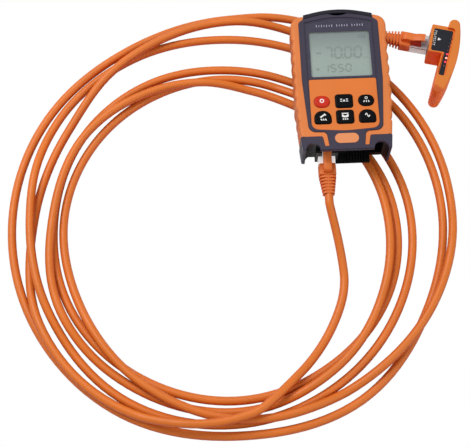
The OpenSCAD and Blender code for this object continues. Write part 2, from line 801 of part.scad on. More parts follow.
module remote_back_shell() {
    color("#d9742f") at_remote() difference() {
        union() {
            loft([raise(bow_pts(edge_r), 0), raise(bow_pts(edge_r / 4), edge_r / 3), raise(bow_pts(), edge_r),
                  raise(bow_pts(), remote_split)]);
            plate(jack_pts(), block_z, remote_split);
        }
        remote_cavity();
        remote_jack_room();
        for (s = [-1, 1]) remote_screw_at(s) {
            translate([0, 0, -eps]) cylinder(d = screw_head + gap, h = screw_deep);
        }
    }
}
module remote_jack_room() {
    translate([-eps, -jack_w / 2 - gap / 2, plug_z - plug_h / 2 - plug_play - thin])
        cube([short_mouth + 2 * thin + gap, jack_w + gap,
              remote_board_z - plug_z + plug_h / 2 + plug_play + thin]);
}
remote_board_z = 20.7;
module remote_screw_at(s) {
    at = lean([bow_x - bow_rise - tip_cap, bow_y + s * tip_y * screw_share]);
    translate([at.x, at.y, 0]) children();
}
screw_share = 0.93;

module remote_shell() {
    color("#e28042") at_remote() difference() {
        union() {
            loft([raise(bow_pts(), remote_split), raise(bow_pts(), remote_h - edge_r),
                  raise(bow_pts(edge_r / 4), remote_h - edge_r / 3), raise(bow_pts(edge_r), remote_h)]);
            plate(jack_pts(), remote_split, label_z);
        }
        plate(label_pts(gap / 2), label_z - label_t, remote_h + edge_r);
        plate(label_pts(thin), label_z, remote_h + edge_r);
        remote_cavity();
        remote_jack_room();
        for (i = [0:led_n - 1])
            translate([led_at(i).x, led_at(i).y, 0]) cylinder(d = led_d + gap, h = remote_h);
    }
}

module remote_label() {
    color("#141722") at_remote() difference() {
        plate(label_pts(), label_z - label_t, label_z);
        for (i = [0:led_n - 1])
            translate([led_at(i).x, led_at(i).y, 0]) cylinder(d = led_d + gap, h = remote_h);
    }
}
module remote_lights() {
    color("#c8323a") at_remote() for (i = [0:led_n - 1])
        translate([led_at(i).x, led_at(i).y, remote_board_z + thin])
            cylinder(d = led_d, h = label_z - remote_board_z - thin + gap);
}
module remote_board() {
    color("#2d6a45") at_remote() translate([0, 0, remote_board_z]) linear_extrude(thin) intersection() {
        union() {
            polygon(bow_pts(remote_wall + gap));
            polygon(jack_pts(remote_wall + gap, remote_wall + thin));
        }
        translate([0, strip_low]) square([bow_x, block_l / 2 - strip_low]);
    }
}
module remote_jack() {
    color("#17181c") at_remote() translate([0, 0, plug_z])
        jack(short_mouth + 2 * thin, remote_board_z - plug_z, short_mouth);
}
module remote_jack_contacts() { color("gold") at_remote() translate([0, 0, plug_z]) jack_wires(short_mouth); }
module remote_screws() {
    color("#50525a") at_remote() for (s = [-1, 1])
        remote_screw_at(s) translate([0, 0, screw_deep - screw_d / 2]) screw(screw_l);
}

// Plugs: X from the tail of the boot to the nose
boot_l = 22.5;
rib_l = 13.5; // ribbed part of the boot
rib_n = 6;
rib_w = 8;
boot_w = 12.2;
boot_h = 9.5;
core_w = 6.8;
sunk = 3; // part of the plug inside its boot
nose_x = boot_l - sunk + plug_l;
hood_l = 8.6;
hood_x = 16;
lever_x = nose_x - thin;
lever_z = plug_h / 2 + gap;
lever_t = 0.9;
lever_rise = 1.4;
lever_l = 17.4;
tab_w = 4;
module plug_body() {
    difference() {
        union() {
            bar(boot_l - sunk, nose_x, plug_w, plug_h, edge_r / 4);
            translate([lever_x, -latch_w / 2, 0]) cube([thin, latch_w, lever_z + lever_t]);
        }
        plug_wires();
    }
}
module plug_wires() {
    wires(nose_x - 5 * thin, nose_x - thin / 2, -plug_h / 2, -plug_h / 2 + 2 * thin);
}
module plug_latch() {
    base_l = lever_l / 2 - thin / 2;
    module side(x0, x1, w, bump) {
        r0 = lever_rise * x0 / lever_l;
        r1 = lever_rise * x1 / lever_l;
        translate([lever_x, w / 2, lever_z]) rotate([90, 0, 0]) linear_extrude(w)
            polygon(concat([[-x0, r0], [-x0, r0 + lever_t]], bump, [[-x1, r1 + lever_t], [-x1, r1]]));
    }
    catch = base_l * 2 / 3;
    top = lever_rise * catch / lever_l + lever_t;
    side(0, base_l, latch_w, [[-catch / 2, top], [-catch, top + lever_t], [-catch, top]]);
    side(base_l, lever_l, tab_w, []);
}
module plug_boot() {
    pitch = rib_l / rib_n;
    difference() {
        union() {
            bar(0, rib_l + eps, core_w, core_w, tip_cap / 2);
            for (i = [0:rib_n - 1])
                bar(i * pitch, (i + rib_share) * pitch, rib_w + i * thin / 2,
                    rib_w - thin + i * thin / 3, tip_cap / 2);
            bar(rib_l, boot_l, boot_w, boot_h, tip_cap / 2);
            translate([hood_x, -hood_w / 2, 0]) cube([boot_l + hood_l - hood_x, hood_w, plug_h / 2 + hood_h]);
        }
        bar(boot_l - sunk, nose_x, plug_w, plug_h, edge_r / 4);
        translate([boot_l, -hood_w / 2, 0]) cube([hood_l + eps, hood_w, lever_z]);
        translate([boot_l - eps, -tab_w / 2 - gap, 0])
            cube([hood_l + 2 * eps, tab_w + 2 * gap, lever_z + lever_rise + lever_t + gap]);
    }
}
rib_share = 0.62;

module at_meter_plug() { at_jack() translate([in_meter - nose_x, 0, 0]) children(); }
module at_remote_plug() { at_remote() translate([in_remote - nose_x, 0, plug_z]) children(); }
module meter_plug() { color("#d8dde0", 0.7) at_meter_plug() plug_body(); }
module meter_plug_latch() { color("#d8dde0", 0.7) at_meter_plug() plug_latch(); }
module meter_plug_boot() { color("#e28042") at_meter_plug() plug_boot(); }
module meter_plug_contacts() { color("gold") at_meter_plug() plug_wires(); }
module remote_plug() { color("#d8dde0", 0.7) at_remote_plug() plug_body(); }
module remote_plug_latch() { color("#d8dde0", 0.7) at_remote_plug() plug_latch(); }
module remote_plug_boot() { color("#e28042") at_remote_plug() plug_boot(); }
module remote_plug_contacts() { color("gold") at_remote_plug() plug_wires(); }

// Route of the cord. The coil is wound clockwise round its centre, six passes, with the
// radius given every 30 degrees; a pass starts beside the remote.
coil_x = -106.2;
coil_y = -83;
coil_start = -90;
coil_end = -2070;
station = 30;
coil_step = 15;
before_r = 114;
after_r = 161;
coil_r = [147, 159.5, 156.5, 141.5, 136, 142, 148.5,
    149, 151, 152, 151, 148.5, 148, 138, 126.5, 120.5, 114, 108, 104,
    100, 97.5, 104.5, 116, 131, 141.5, 142.5, 140, 127.5, 121.5, 109, 97.5,
    93, 101.5, 111, 120.5, 127.5, 134, 135, 133.5, 127.5, 124, 118.5, 111.5,
    109.5, 114, 122, 130.5, 140.5, 149.5, 153, 147.5, 143.5, 146.5, 142.5, 137,
    136, 141.5, 145, 149, 158, 157.5, 161.5, 160, 157, 154, 150.5, 154];
layer = 6.6; // rise of a crossing over the strand below it
ramp = 22; // degrees over which a crossing rises
// Crossings: pass, from, to, share of a layer
humps = [[1, -80, -104, 2], [1, -80, -146, 1], [1, -232, -272, 1], [2, -16, -48, 1], [2, -76, -138, 1],
         [3, 50, -64, 1], [3, -152, -258, 1], [5, -160, -188, 1.1]];

function smooth(x) = let (q = min(max(x, 0), 1)) q * q * (3 - 2 * q);
function lift(t) = max([0, for (h = humps)
    let (a = h[1] - 360 * (h[0] - 1), b = h[2] - 360 * (h[0] - 1))
    h[3] * layer * (t > a ? smooth(1 - (t - a) / ramp) : t < b ? smooth(1 - (b - t) / ramp) : 1)]);
function radius_at(i) = i < 0 ? before_r : i >= len(coil_r) ? after_r : coil_r[i];
function coil_radius(t) =
    let (u = (coil_start - t) / station, i = min(max(floor(u), 0), len(coil_r) - 2), f = u - i,
         p = [for (k = [-1:2]) radius_at(i + k)])
    0.5 * (2 * p[1] + (p[2] - p[0]) * f + (2 * p[0] - 5 * p[1] + 4 * p[2] - p[3]) * f * f
           + (3 * p[1] - p[0] - 3 * p[2] + p[3]) * f * f * f);
function coil_point(t) =
    [coil_x + coil_radius(t) * cos(t), coil_y + coil_radius(t) * sin(t), cord_d / 2 + lift(t)];
coil_path = [for (t = [coil_start:-coil_step:coil_end]) coil_point(t)];
coil_first = unit([-0.956, -0.29, 0]);
coil_last = unit([0.998, 0.068, 0]);

// Least distance between two straight pieces of the cord
function seg_gap(p1, q1, p2, q2) =
    let (d1 = q1 - p1, d2 = q2 - p2, r = p1 - p2,
         a = d1 * d1, e = d2 * d2, f = d2 * r, c = d1 * r, b = d1 * d2,
         den = a * e - b * b,
         s0 = den > eps * eps ? min(max((b * f - c * e) / den, 0), 1) : 0,
         t0 = (b * s0 + f) / e,
         t = min(max(t0, 0), 1),
         s = t0 == t ? s0 : min(max((b * t - c) / a, 0), 1))
    norm(p1 + d1 * s - p2 - d2 * t);
turn_n = 360 / coil_step;
coil_gap = min([for (i = [0:len(coil_path) - 2], k = [1:6], o = [-1:1])
    let (j = i + k * turn_n + o) if (j < len(coil_path) - 1)
    seg_gap(coil_path[i], coil_path[i + 1], coil_path[j], coil_path[j + 1])]) - cord_d;

remote_dir = [cos(remote_turn), -sin(remote_turn), 0];
meter_tail = [meter_x + jack_x, foot_y + recess + in_meter - nose_x, meter_z + jack_z];
remote_tail = [remote_x, remote_y, plug_z] + (in_remote - nose_x) * remote_dir;
meter_route = [meter_tail, meter_tail - [0, cord_d, 0], [-39.7, -93, 17], [-36.7, -106, 11], [-34.2, -121, 6],
    [-33.2, -136, 3.2], [-35.7, -150, 3], [-41.7, -165, 3], [-50.2, -180, 4], [-60.7, -194, 7], [-72.2, -206, 11],
    [-83.2, -216.5, 14.5], [-93.2, -224.5, 16], coil_path[0] - cord_d * coil_first, coil_path[0]];
coil_out = coil_path[len(coil_path) - 1];
remote_route = [coil_out, coil_out + cord_d * coil_last, [-90.2, 72, 3], [-78.2, 72, 3], [-66.2, 70.5, 3],
    [-54.2, 67.7, 3], [-42.2, 63.5, 3], [-33.2, 60, 3], [-23.2, 56, 4.5], [-13.2, 52.5, 7.5], [-5.2, 50.2, 10.2],
    remote_tail - cord_d * remote_dir, remote_tail];

// The route with a point more in the middle of each stretch
function denser(p) =
    let (n = len(p))
    [for (i = [0:n - 1]) each i == 0 || i > n - 3 ? [p[i]] :
        [p[i], (9 * (p[i] + p[i + 1]) - p[i - 1] - p[i + 2]) / 16]];
function total(p, i = 1) = i >= len(p) ? 0 : norm(p[i] - p[i - 1]) + total(p, i + 1);

module tube(p, first, last, sides, turn) {
    n = len(p);
    rings = [for (i = [0:n - 1])
        let (t = i == 0 ? first : i == n - 1 ? last : unit(p[i + 1] - p[i - 1]),
             a = unit(cross(t, [0, 0, 1])), b = cross(t, a))
        for (k = [0:sides - 1])
            let (w = turn + 360 * k / sides) p[i] + cord_d / 2 * (a * cos(w) + b * sin(w))];
    sheet = [for (i = [0:n - 2], k = [0:sides - 1])
        let (u = i * sides + k, v = i * sides + (k + 1) % sides)
        each [[u, v, u + sides], [v, v + sides, u + sides]]];
    caps = [for (k = [1:sides - 2])
        each [[0, k + 1, k], [(n - 1) * sides, (n - 1) * sides + k, (n - 1) * sides + k + 1]]];
    polyhedron(rings, concat(sheet, caps), convexity = 10);
}

// The coil has six sides and lies on flats, the leads have eight
module cord_lead_meter() { color("#e47a30") tube(denser(meter_route), [0, -1, 0], coil_first, 8, 0); }
module cord_coil() { color("#e47a30") tube(coil_path, coil_first, coil_last, 6, 180 / 6); }
module cord_lead_remote() { color("#e47a30") tube(denser(remote_route), coil_last, remote_dir, 8, 0); }

union() {  // cord_coil
    echo(coil_gap = coil_gap);
    echo(cord_length = total(coil_path) + total(denser(meter_route)) + total(denser(remote_route)));
}

rear_shell();
front_shell();
grip_left();
grip_right();
keypad_panel();
lcd_window();
lcd_module();
key_power();
key_reference();
key_laser();
key_lamp();
key_unit();
key_wave();
key_mat();
badge_plate();
dust_cover();
cover_hinge_pin();
port_block();
optical_port();
laser_port();
lamp_lens();
main_board();
meter_jack();
meter_jack_contacts();
battery_door();
battery_cells();
battery_contacts();
case_screws();
remote_shell();
remote_back_shell();
remote_label();
remote_lights();
remote_board();
remote_jack();
remote_jack_contacts();
remote_screws();
cord_lead_meter();
cord_coil();
cord_lead_remote();
meter_plug();
meter_plug_latch();
meter_plug_boot();
meter_plug_contacts();
remote_plug();
remote_plug_latch();
remote_plug_boot();
remote_plug_contacts();
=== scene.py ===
import math
import bpy
import bmesh
from mathutils import Vector, Matrix


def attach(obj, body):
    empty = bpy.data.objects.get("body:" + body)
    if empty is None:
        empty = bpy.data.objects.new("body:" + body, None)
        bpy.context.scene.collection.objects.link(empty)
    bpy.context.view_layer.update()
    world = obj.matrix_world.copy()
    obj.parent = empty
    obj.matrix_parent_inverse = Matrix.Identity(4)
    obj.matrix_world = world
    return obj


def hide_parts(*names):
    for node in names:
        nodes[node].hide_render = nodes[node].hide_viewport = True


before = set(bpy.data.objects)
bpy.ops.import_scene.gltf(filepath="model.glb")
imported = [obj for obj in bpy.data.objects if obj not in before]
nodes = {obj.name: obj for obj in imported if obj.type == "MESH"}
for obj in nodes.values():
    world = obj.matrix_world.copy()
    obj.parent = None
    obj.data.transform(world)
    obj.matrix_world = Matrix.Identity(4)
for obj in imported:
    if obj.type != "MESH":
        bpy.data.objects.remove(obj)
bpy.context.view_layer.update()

scene = bpy.context.scene
mm = 0.001
print("frame loaded:", len(nodes), "nodes")

# camera
cameraPlan = {
    "place": (-0.11476, -0.37382, 0.77741),
    "aim": (-0.10688, -0.09047, 0.0),
    "right": (0.99924, -0.03858, -0.00394),
    "lens": 89.96,
    "sensor": 36,
    "far": 20,
}


def makeCamera(plan):
    data = bpy.data.cameras.new("photoCamera")
    data.lens = plan["lens"]
    data.sensor_width = plan["sensor"]
    data.clip_end = plan["far"]
    camera = bpy.data.objects.new("photoCamera", data)
    scene.collection.objects.link(camera)
    place = Vector(plan["place"])
    back = (place - Vector(plan["aim"])).normalized()
    right = Vector(plan["right"]).normalized()
    up = back.cross(right)
    turn = Matrix((right, up, back)).transposed().to_4x4()
    camera.matrix_world = Matrix.Translation(place) @ turn
    scene.camera = camera


makeCamera(cameraPlan)
print("camera set")

# materials: the part of a noise's range that is used, and how far up a face may look to take the painted side
# shade
noiseSpan = (0.3, 0.7)
sideShadeSpan = (0.1, 0.85)


def linear(code):
    # a hex colour as linear light
    out = []
    for i in (1, 3, 5):
        v = int(code[i:i + 2], 16) / 255
        out.append(v / 12.92 if v <= 0.04045 else ((v + 0.055) / 1.055) ** 2.4)
    return (*out, 1.0)


def newMaterial(name):
    mat = bpy.data.materials.new(name)
    mat.use_nodes = True
    tree = mat.node_tree
    shader = tree.nodes["Principled BSDF"]
    coords = tree.nodes.new("ShaderNodeTexCoord")
    return mat, tree, shader, coords


def addNoise(tree, coords, scale, detail, rough=0.5):
    node = tree.nodes.new("ShaderNodeTexNoise")
    node.inputs["Scale"].default_value = scale
    node.inputs["Detail"].default_value = detail
    node.inputs["Roughness"].default_value = rough
    tree.links.new(coords.outputs["Object"], node.inputs["Vector"])
    return node.outputs["Fac"]


def addRange(tree, source, low, high, span=noiseSpan):
    node = tree.nodes.new("ShaderNodeMapRange")
    for label, value in zip(("From Min", "From Max", "To Min", "To Max"), (*span, low, high)):
        node.inputs[label].default_value = value
    tree.links.new(source, node.inputs["Value"])
    return node.outputs["Result"]


def addMath(tree, operation, first, second):
    # each side is an output or a plain number
    node = tree.nodes.new("ShaderNodeMath")
    node.operation = operation
    for entry, value in zip(node.inputs, (first, second)):
        if isinstance(value, (int, float)):
            entry.default_value = value
        else:
            tree.links.new(value, entry)
    return node.outputs["Value"]


def addMix(tree, factor, first, second):
    mix = tree.nodes.new("ShaderNodeMix")
    mix.data_type = "RGBA"
    for key, value in (("A", first), ("B", second)):
        if isinstance(value, tuple):
            mix.inputs[key].default_value = value
        else:
            tree.links.new(value, mix.inputs[key])
    tree.links.new(factor, mix.inputs["Factor"])
    return mix.outputs["Result"]


def addPaintedSideShade(tree, coords, colour, shadeCode):
    # painted shade: faces that look sideways or down take the deeper tone, as if turned away from the light
    parts = tree.nodes.new("ShaderNodeSeparateXYZ")
    tree.links.new(coords.outputs["Normal"], parts.inputs["Vector"])
    lean = addRange(tree, parts.outputs["Z"], 1, 0, sideShadeSpan)
    return addMix(tree, lean, colour, linear(shadeCode))


def addZone(tree, coords, low, high):
    # 1 inside a box given in the piece's own coordinates
    parts = tree.nodes.new("ShaderNodeSeparateXYZ")
    tree.links.new(coords.outputs["Object"], parts.inputs["Vector"])
    inside = 1
    for axis, a, b in zip("XYZ", low, high):
        for kind, limit in (("GREATER_THAN", a), ("LESS_THAN", b)):
            inside = addMath(tree, "MULTIPLY", inside, addMath(tree, kind, parts.outputs[axis], limit))
    return inside


def addReach(tree, coords, start, along, width):
    # 0 before the start point, 1 one width further along
    offset = tree.nodes.new("ShaderNodeVectorMath")
    offset.operation = "SUBTRACT"
    offset.inputs[1].default_value = start
    tree.links.new(coords.outputs["Object"], offset.inputs[0])
    reach = tree.nodes.new("ShaderNodeVectorMath")
    reach.operation = "DOT_PRODUCT"
    reach.inputs[1].default_value = along
    tree.links.new(offset.outputs["Vector"], reach.inputs[0])
    shadeFade = tree.nodes.new("ShaderNodeMapRange")
    shadeFade.interpolation_type = "SMOOTHSTEP"
    shadeFade.inputs["From Max"].default_value = width
    tree.links.new(reach.outputs["Value"], shadeFade.inputs["Value"])
    return shadeFade.outputs["Result"]


# noises are a scale and a detail
plasticLook = {
    "drift": (38, 2),
    "grainDetail": 4,
    "grainRough": 0.6,
    "bump": 0.55,
    "smear": (140, 3),
    "uneven": (-0.05, 0.07),
    "coatRough": 0.15,
}


def mouldedPlastic(name, code, rough, vary, grain, depth, gloss, coat, side=None, recessShade=None, shadeFade=None):
    # plastic or rubber from a mould: colour drifts a little, the grain only shows in highlights
    look = plasticLook
    mat, tree, shader, coords = newMaterial(name)
    colour = linear(code)
    drift = addRange(tree, addNoise(tree, coords, *look["drift"]), 0, 1)
    tone = addMix(tree, drift, tuple(c * (1 - vary) for c in colour[:3]) + (1,),
                  tuple(min(1, c * (1 + vary)) for c in colour[:3]) + (1,))
    # painted shade: the fade, the side tone and the box tone below darken or deepen parts of the colour as if
    # shaded
    if shadeFade:
        tone = addMix(tree, addReach(tree, coords, *shadeFade[1:]), tone, linear(shadeFade[0]))
    if side:
        tone = addPaintedSideShade(tree, coords, tone, side)
    if recessShade:
        tone = addMix(tree, addZone(tree, coords, *recessShade[1:]), tone, linear(recessShade[0]))
    tree.links.new(tone, shader.inputs["Base Color"])
    bump = tree.nodes.new("ShaderNodeBump")
    bump.inputs["Strength"].default_value = look["bump"]
    bump.inputs["Distance"].default_value = depth
    fine = addNoise(tree, coords, grain, look["grainDetail"], look["grainRough"])
    tree.links.new(fine, bump.inputs["Height"])
    tree.links.new(bump.outputs["Normal"], shader.inputs["Normal"])
    less, more = look["uneven"]
    smear = addRange(tree, addNoise(tree, coords, *look["smear"]), rough + less, rough + more)
    tree.links.new(smear, shader.inputs["Roughness"])
    shader.inputs["Specular IOR Level"].default_value = gloss
    shader.inputs["Coat Weight"].default_value = coat
    shader.inputs["Coat Roughness"].default_value = look["coatRough"]
    return mat


metalLook = {
    "stretch": (1, 60, 60),
    "scale": 120,
    "uneven": (-0.08, 0.1),
}


def brushedMetal(name, code, rough):
    look = metalLook
    mat, tree, shader, coords = newMaterial(name)
    shader.inputs["Base Color"].default_value = linear(code)
    shader.inputs["Metallic"].default_value = 1.0
    mapping = tree.nodes.new("ShaderNodeMapping")
    mapping.inputs["Scale"].default_value = look["stretch"]
    tree.links.new(coords.outputs["Object"], mapping.inputs["Vector"])
    lines = tree.nodes.new("ShaderNodeTexNoise")
    lines.inputs["Scale"].default_value = look["scale"]
    tree.links.new(mapping.outputs["Vector"], lines.inputs["Vector"])
    less, more = look["uneven"]
    smear = addRange(tree, lines.outputs["Fac"], rough + less, rough + more)
    tree.links.new(smear, shader.inputs["Roughness"])
    return mat


clearLook = {
    "cloud": (300, 3),
    "uneven": 0.03,
    "thin": (0.94, 1.06),
    "gloss": 0.6,
}


def clearPlastic(name, code, alpha, rough, glow=0.0):
    look = clearLook
    mat, tree, shader, coords = newMaterial(name)
    cloud = addNoise(tree, coords, *look["cloud"])
    less, more = look["thin"]
    tree.links.new(addRange(tree, cloud, rough, rough + look["uneven"]), shader.inputs["Roughness"])
    tree.links.new(addRange(tree, cloud, alpha * less, alpha * more), shader.inputs["Alpha"])
    shader.inputs["Base Color"].default_value = linear(code)
    shader.inputs["Specular IOR Level"].default_value = look["gloss"]
    # painted light: a glow brightens the plastic beyond the light that reaches it
    shader.inputs["Emission Color"].default_value = linear(code)
    shader.inputs["Emission Strength"].default_value = glow
    return mat


lampLook = {
    "rough": 0.2,
    "spots": (900, 2),
    "uneven": (0.85, 1.15),
}


def lampPlastic(name, code, glow):
    look = lampLook
    mat, tree, shader, coords = newMaterial(name)
    shader.inputs["Base Color"].default_value = linear(code)
    shader.inputs["Roughness"].default_value = look["rough"]
    less, more = look["uneven"]
    spots = addRange(tree, addNoise(tree, coords, *look["spots"]), glow * less, glow * more)
    tree.links.new(spots, shader.inputs["Emission Strength"])
    shader.inputs["Emission Color"].default_value = linear(code)
    return mat


# name, colour, roughness, colour drift, grain scale, grain depth in metres, gloss, coat
plastics = {
    "casing": ("casingDark", "#3b3547", 0.5, 0.05, 3000, 0.00002, 0.3, 0),
    "cover": ("coverDark", "#25232c", 0.45, 0.05, 3000, 0.000015, 0.2, 0),
    "black": ("jackBlack", "#0e0e11", 0.5, 0.1, 2600, 0.00001, 0.5, 0),
    "grip": ("gripOrange", "#e28042", 0.55, 0.05, 2200, 0.00003, 0.3, 0),
    "panel": ("panelOrange", "#e37a33", 0.42, 0.03, 3400, 0.00001, 0.3, 0),
    "badge": ("badgeOrange", "#e8925f", 0.4, 0.03, 3400, 0.00001, 0.3, 0),
    "remote": ("remoteOrange", "#e08038", 0.42, 0.05, 3000, 0.000012, 0.2, 0),
    "cord": ("cordOrange", "#e4782a", 0.4, 0.05, 1500, 0.00002, 0.35, 0),
    "boot": ("bootOrange", "#e27432", 0.45, 0.05, 2000, 0.00002, 0.3, 0),
    # painted shade: a dark copy of the boot's orange for its parts in the shade under the hood
    "bootPaintedShade": ("bootPaintedShade", "#9c2410", 0.4, 0.08, 2000, 0.00001, 0.4, 0),
    "keyBlack": ("keyBlack", "#04050a", 0.5, 0.1, 3000, 0.00001, 0.1, 0),
    "keyRed": ("keyRed", "#cc2a0c", 0.4, 0.05, 3000, 0.00001, 0.25, 0),
    "print": ("printWhite", "#f4f4f2", 0.5, 0.02, 2000, 0.000005, 0.5, 0),
    "faint": ("printFaint", "#b9b6c8", 0.5, 0.02, 2000, 0.000005, 0.5, 0),
    "border": ("windowBorder", "#3d394c", 0.3, 0.04, 3000, 0.000004, 0.4, 0.1),
    "label": ("labelBlack", "#131724", 0.22, 0.08, 3000, 0.000004, 0.5, 0.3),
    "silicone": ("siliconeGrey", "#8d8f94", 0.6, 0.04, 2600, 0.000012, 0.5, 0),
    "board": ("boardGreen", "#2d6a45", 0.4, 0.1, 900, 0.00002, 0.5, 0),
    "display": ("displayGreen", "#92a39c", 0.35, 0.03, 4000, 0.000003, 0.3, 0),
    "faintInk": ("displayFaintInk", "#5d6a70", 0.4, 0.03, 4000, 0.000002, 0.3, 0),
    "digit": ("digitDark", "#73837d", 0.4, 0.03, 4000, 0.000002, 0.3, 0),
    "cell": ("cellJacket", "#b3b7bf", 0.3, 0.05, 1500, 0.00001, 0.5, 0),
    "strand": ("strandGrey", "#b9aeb0", 0.4, 0.1, 900, 0.00001, 0.5, 0),
    "lightOff": ("lightOff", "#5a2630", 0.25, 0.1, 2500, 0.000004, 0.4, 0.3),
}
# painted shade tones: a side is a colour of painted shading on faces that look sideways or down, a box tone
# is a colour and a box's two corners (painted shade inside the room at the lower end), a fade is a colour, a
# start point, a direction and a width (painted shade on the upper part of the display under the window's rim,
# and on the bow where it turns down at its tip)
paintedShadeTones = {
    "casing": {"recessShade": ("#0d0d10", (-0.0571, -0.06, 0.01305), (0.0007, -0.0372, 0.03836))},
    "grip": {"side": "#cf6a34"},
    "remote": {"side": "#fa6a08", "shadeFade": ("#c85e2c", (0.0441, -0.0021, 0), (-0.569, -0.822, 0), 0.0028)},
    "cord": {"side": "#cf500e"},
    "boot": {"side": "#e2601a"},
    "display": {"shadeFade": ("#6b7a78", (0, 0.012, 0), (0, 1, 0), 0.028)},
}
finish = {key: mouldedPlastic(*row, **paintedShadeTones.get(key, {})) for key, row in plastics.items()}
finish.update({
    "steel": brushedMetal("screwSteel", "#a9abb0", rough=0.3),
    "nickel": brushedMetal("portNickel", "#c6c8cc", rough=0.22),
    "gold": brushedMetal("contactGold", "#e2b866", rough=0.25),
    "window": clearPlastic("windowClear", "#e9efec", alpha=0.08, rough=0.05),
    "clear": clearPlastic("plugClear", "#efe3e2", alpha=0.5, rough=0.12),
    # painted light: the meter's plug glows a little, a painted brightening of the light through it in the
    # shade under the heel
    "clearPaintedGlow": clearPlastic("plugClearPaintedGlow", "#fbfbfb", alpha=0.9, rough=0.12, glow=0.4),
    "lampClear": clearPlastic("lampClear", "#f3f5f6", alpha=0.45, rough=0.08),
    "lightDim": lampPlastic("lightDim", "#e8384e", glow=0.8),
    "lightOn": lampPlastic("lightOn", "#ff9a8c", glow=1.2),
})
print("materials made:", len(finish))


# shared ways of making a piece
def newPiece(name, verts, faces, material, body, smooth=False):
    mesh = bpy.data.meshes.new(name)
    mesh.from_pydata([tuple(v) for v in verts], [], faces)
    mesh.materials.append(material)
    mesh.update()
    obj = bpy.data.objects.new(name, mesh)
    scene.collection.objects.link(obj)
    faceOutward(obj)
    for p in mesh.polygons:
        p.use_smooth = smooth
    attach(obj, body)
    return obj


def faceOutward(obj):
    bm = bmesh.new()
    bm.from_mesh(obj.data)
    bmesh.ops.recalc_face_normals(bm, faces=bm.faces)
    bm.to_mesh(obj.data)
    bm.free()


def turnedZ(degrees):
    return Matrix.Rotation(math.radians(degrees), 4, "Z")


meterPlace = Matrix.Translation((-0.0282, 0, 0.013))
remotePlace = Matrix.Translation((0.03987, 0.0389, 0)) @ turnedZ(-14)
plugPlaces = {
    "meter": Matrix.Translation((-0.0414, -0.0792, 0.0205)) @ turnedZ(90),
    "remote": remotePlace @ Matrix.Translation((-0.0345, 0, 0.011)),
}


def inMillimetres(x, y, z):
    return Vector((x, y, z)) * mm


def onMeter(x, y, z):
    return meterPlace @ inMillimetres(x, y, z)


def onRemote(x, y, z):
    return remotePlace @ inMillimetres(x, y, z)


def shifted(points, x, y):
    return [(x + a, y + b) for a, b in points]


def cornersOf(x0, y0, x1, y1):
    return [(x0, y0), (x1, y0), (x1, y1), (x0, y1)]


def roundedRing(w, h, r, n):
    # a rounded rectangle about the origin, counter-clockwise, with n steps in each corner
    hair = 1e-6
    pts = []
    r = min(r, w / 2 - hair, h / 2 - hair)
    for cx, cy, a in ((w / 2 - r, h / 2 - r, 0), (-w / 2 + r, h / 2 - r, 90),
                      (-w / 2 + r, -h / 2 + r, 180), (w / 2 - r, -h / 2 + r, 270)):
        for i in range(n + 1):
            t = math.radians(a + 90 * i / n)
            pts.append((cx + r * math.cos(t), cy + r * math.sin(t)))
    return pts


def loftRings(rings):
    # a closed solid through rings of equal length
    n = len(rings[0])
    verts = [v for r in rings for v in r]
    faces = []
    for j in range(len(rings) - 1):
        for i in range(n):
            k = (i + 1) % n
            faces.append((j * n + i, j * n + k, (j + 1) * n + k, (j + 1) * n + i))
    faces.append(tuple(range(n - 1, -1, -1)))
    faces.append(tuple((len(rings) - 1) * n + i for i in range(n)))
    return verts, faces


def loftAlong(stations):
    # a solid through outlines that stand across X, each with its place on X
    return loftRings([[inMillimetres(x, a, b) for a, b in ring] for x, ring in stations])


def prismSolid(ring, low, high, axis="Z"):
    # a plate of one outline, upright along the given axis
    def turned(a, b, c):
        return {"X": (c, a, b), "Y": (a, c, b), "Z": (a, b, c)}[axis]
    return loftRings([[inMillimetres(*turned(a, b, c)) for a, b in ring] for c in (low, high)])


def joinSolids(solids):
    verts, faces = [], []
    for v, f in solids:
        base = len(verts)
        verts += v
        faces += [tuple(base + i for i in face) for face in f]
    return verts, faces


# a row of copies of one piece, from its own size at the first to another at the last
def makeRowTree():
    tree = bpy.data.node_groups.new("pieceRow", "GeometryNodeTree")
    for label, kind in (("Geometry", "NodeSocketGeometry"), ("Count", "NodeSocketInt"),
                        ("Step", "NodeSocketVector"), ("Last Scale", "NodeSocketVector"),
                        ("Material", "NodeSocketMaterial")):
        tree.interface.new_socket(label, in_out="INPUT", socket_type=kind)
    tree.interface.new_socket("Geometry", in_out="OUTPUT", socket_type="NodeSocketGeometry")
    add = tree.nodes.new
    start, end = add("NodeGroupInput"), add("NodeGroupOutput")
    line = add("GeometryNodeMeshLine")
    tree.links.new(start.outputs["Count"], line.inputs["Count"])
    tree.links.new(start.outputs["Step"], line.inputs["Offset"])
    gaps = addMath(tree, "SUBTRACT", start.outputs["Count"], 1)
    share = addMath(tree, "DIVIDE", add("GeometryNodeInputIndex").outputs["Index"], gaps)
    size = add("ShaderNodeMix")
    size.data_type = "VECTOR"
    size.inputs["A"].default_value = (1, 1, 1)
    tree.links.new(share, size.inputs["Factor"])
    tree.links.new(start.outputs["Last Scale"], size.inputs["B"])
    copies = add("GeometryNodeInstanceOnPoints")
    tree.links.new(line.outputs["Mesh"], copies.inputs["Points"])
    tree.links.new(start.outputs["Geometry"], copies.inputs["Instance"])
    tree.links.new(size.outputs["Result"], copies.inputs["Scale"])
    real = add("GeometryNodeRealizeInstances")
    tree.links.new(copies.outputs["Instances"], real.inputs["Geometry"])
    paint = add("GeometryNodeSetMaterial")
    tree.links.new(real.outputs["Geometry"], paint.inputs["Geometry"])
    tree.links.new(start.outputs["Material"], paint.inputs["Material"])
    tree.links.new(paint.outputs["Geometry"], end.inputs["Geometry"])
    return tree


pieceRow = makeRowTree()


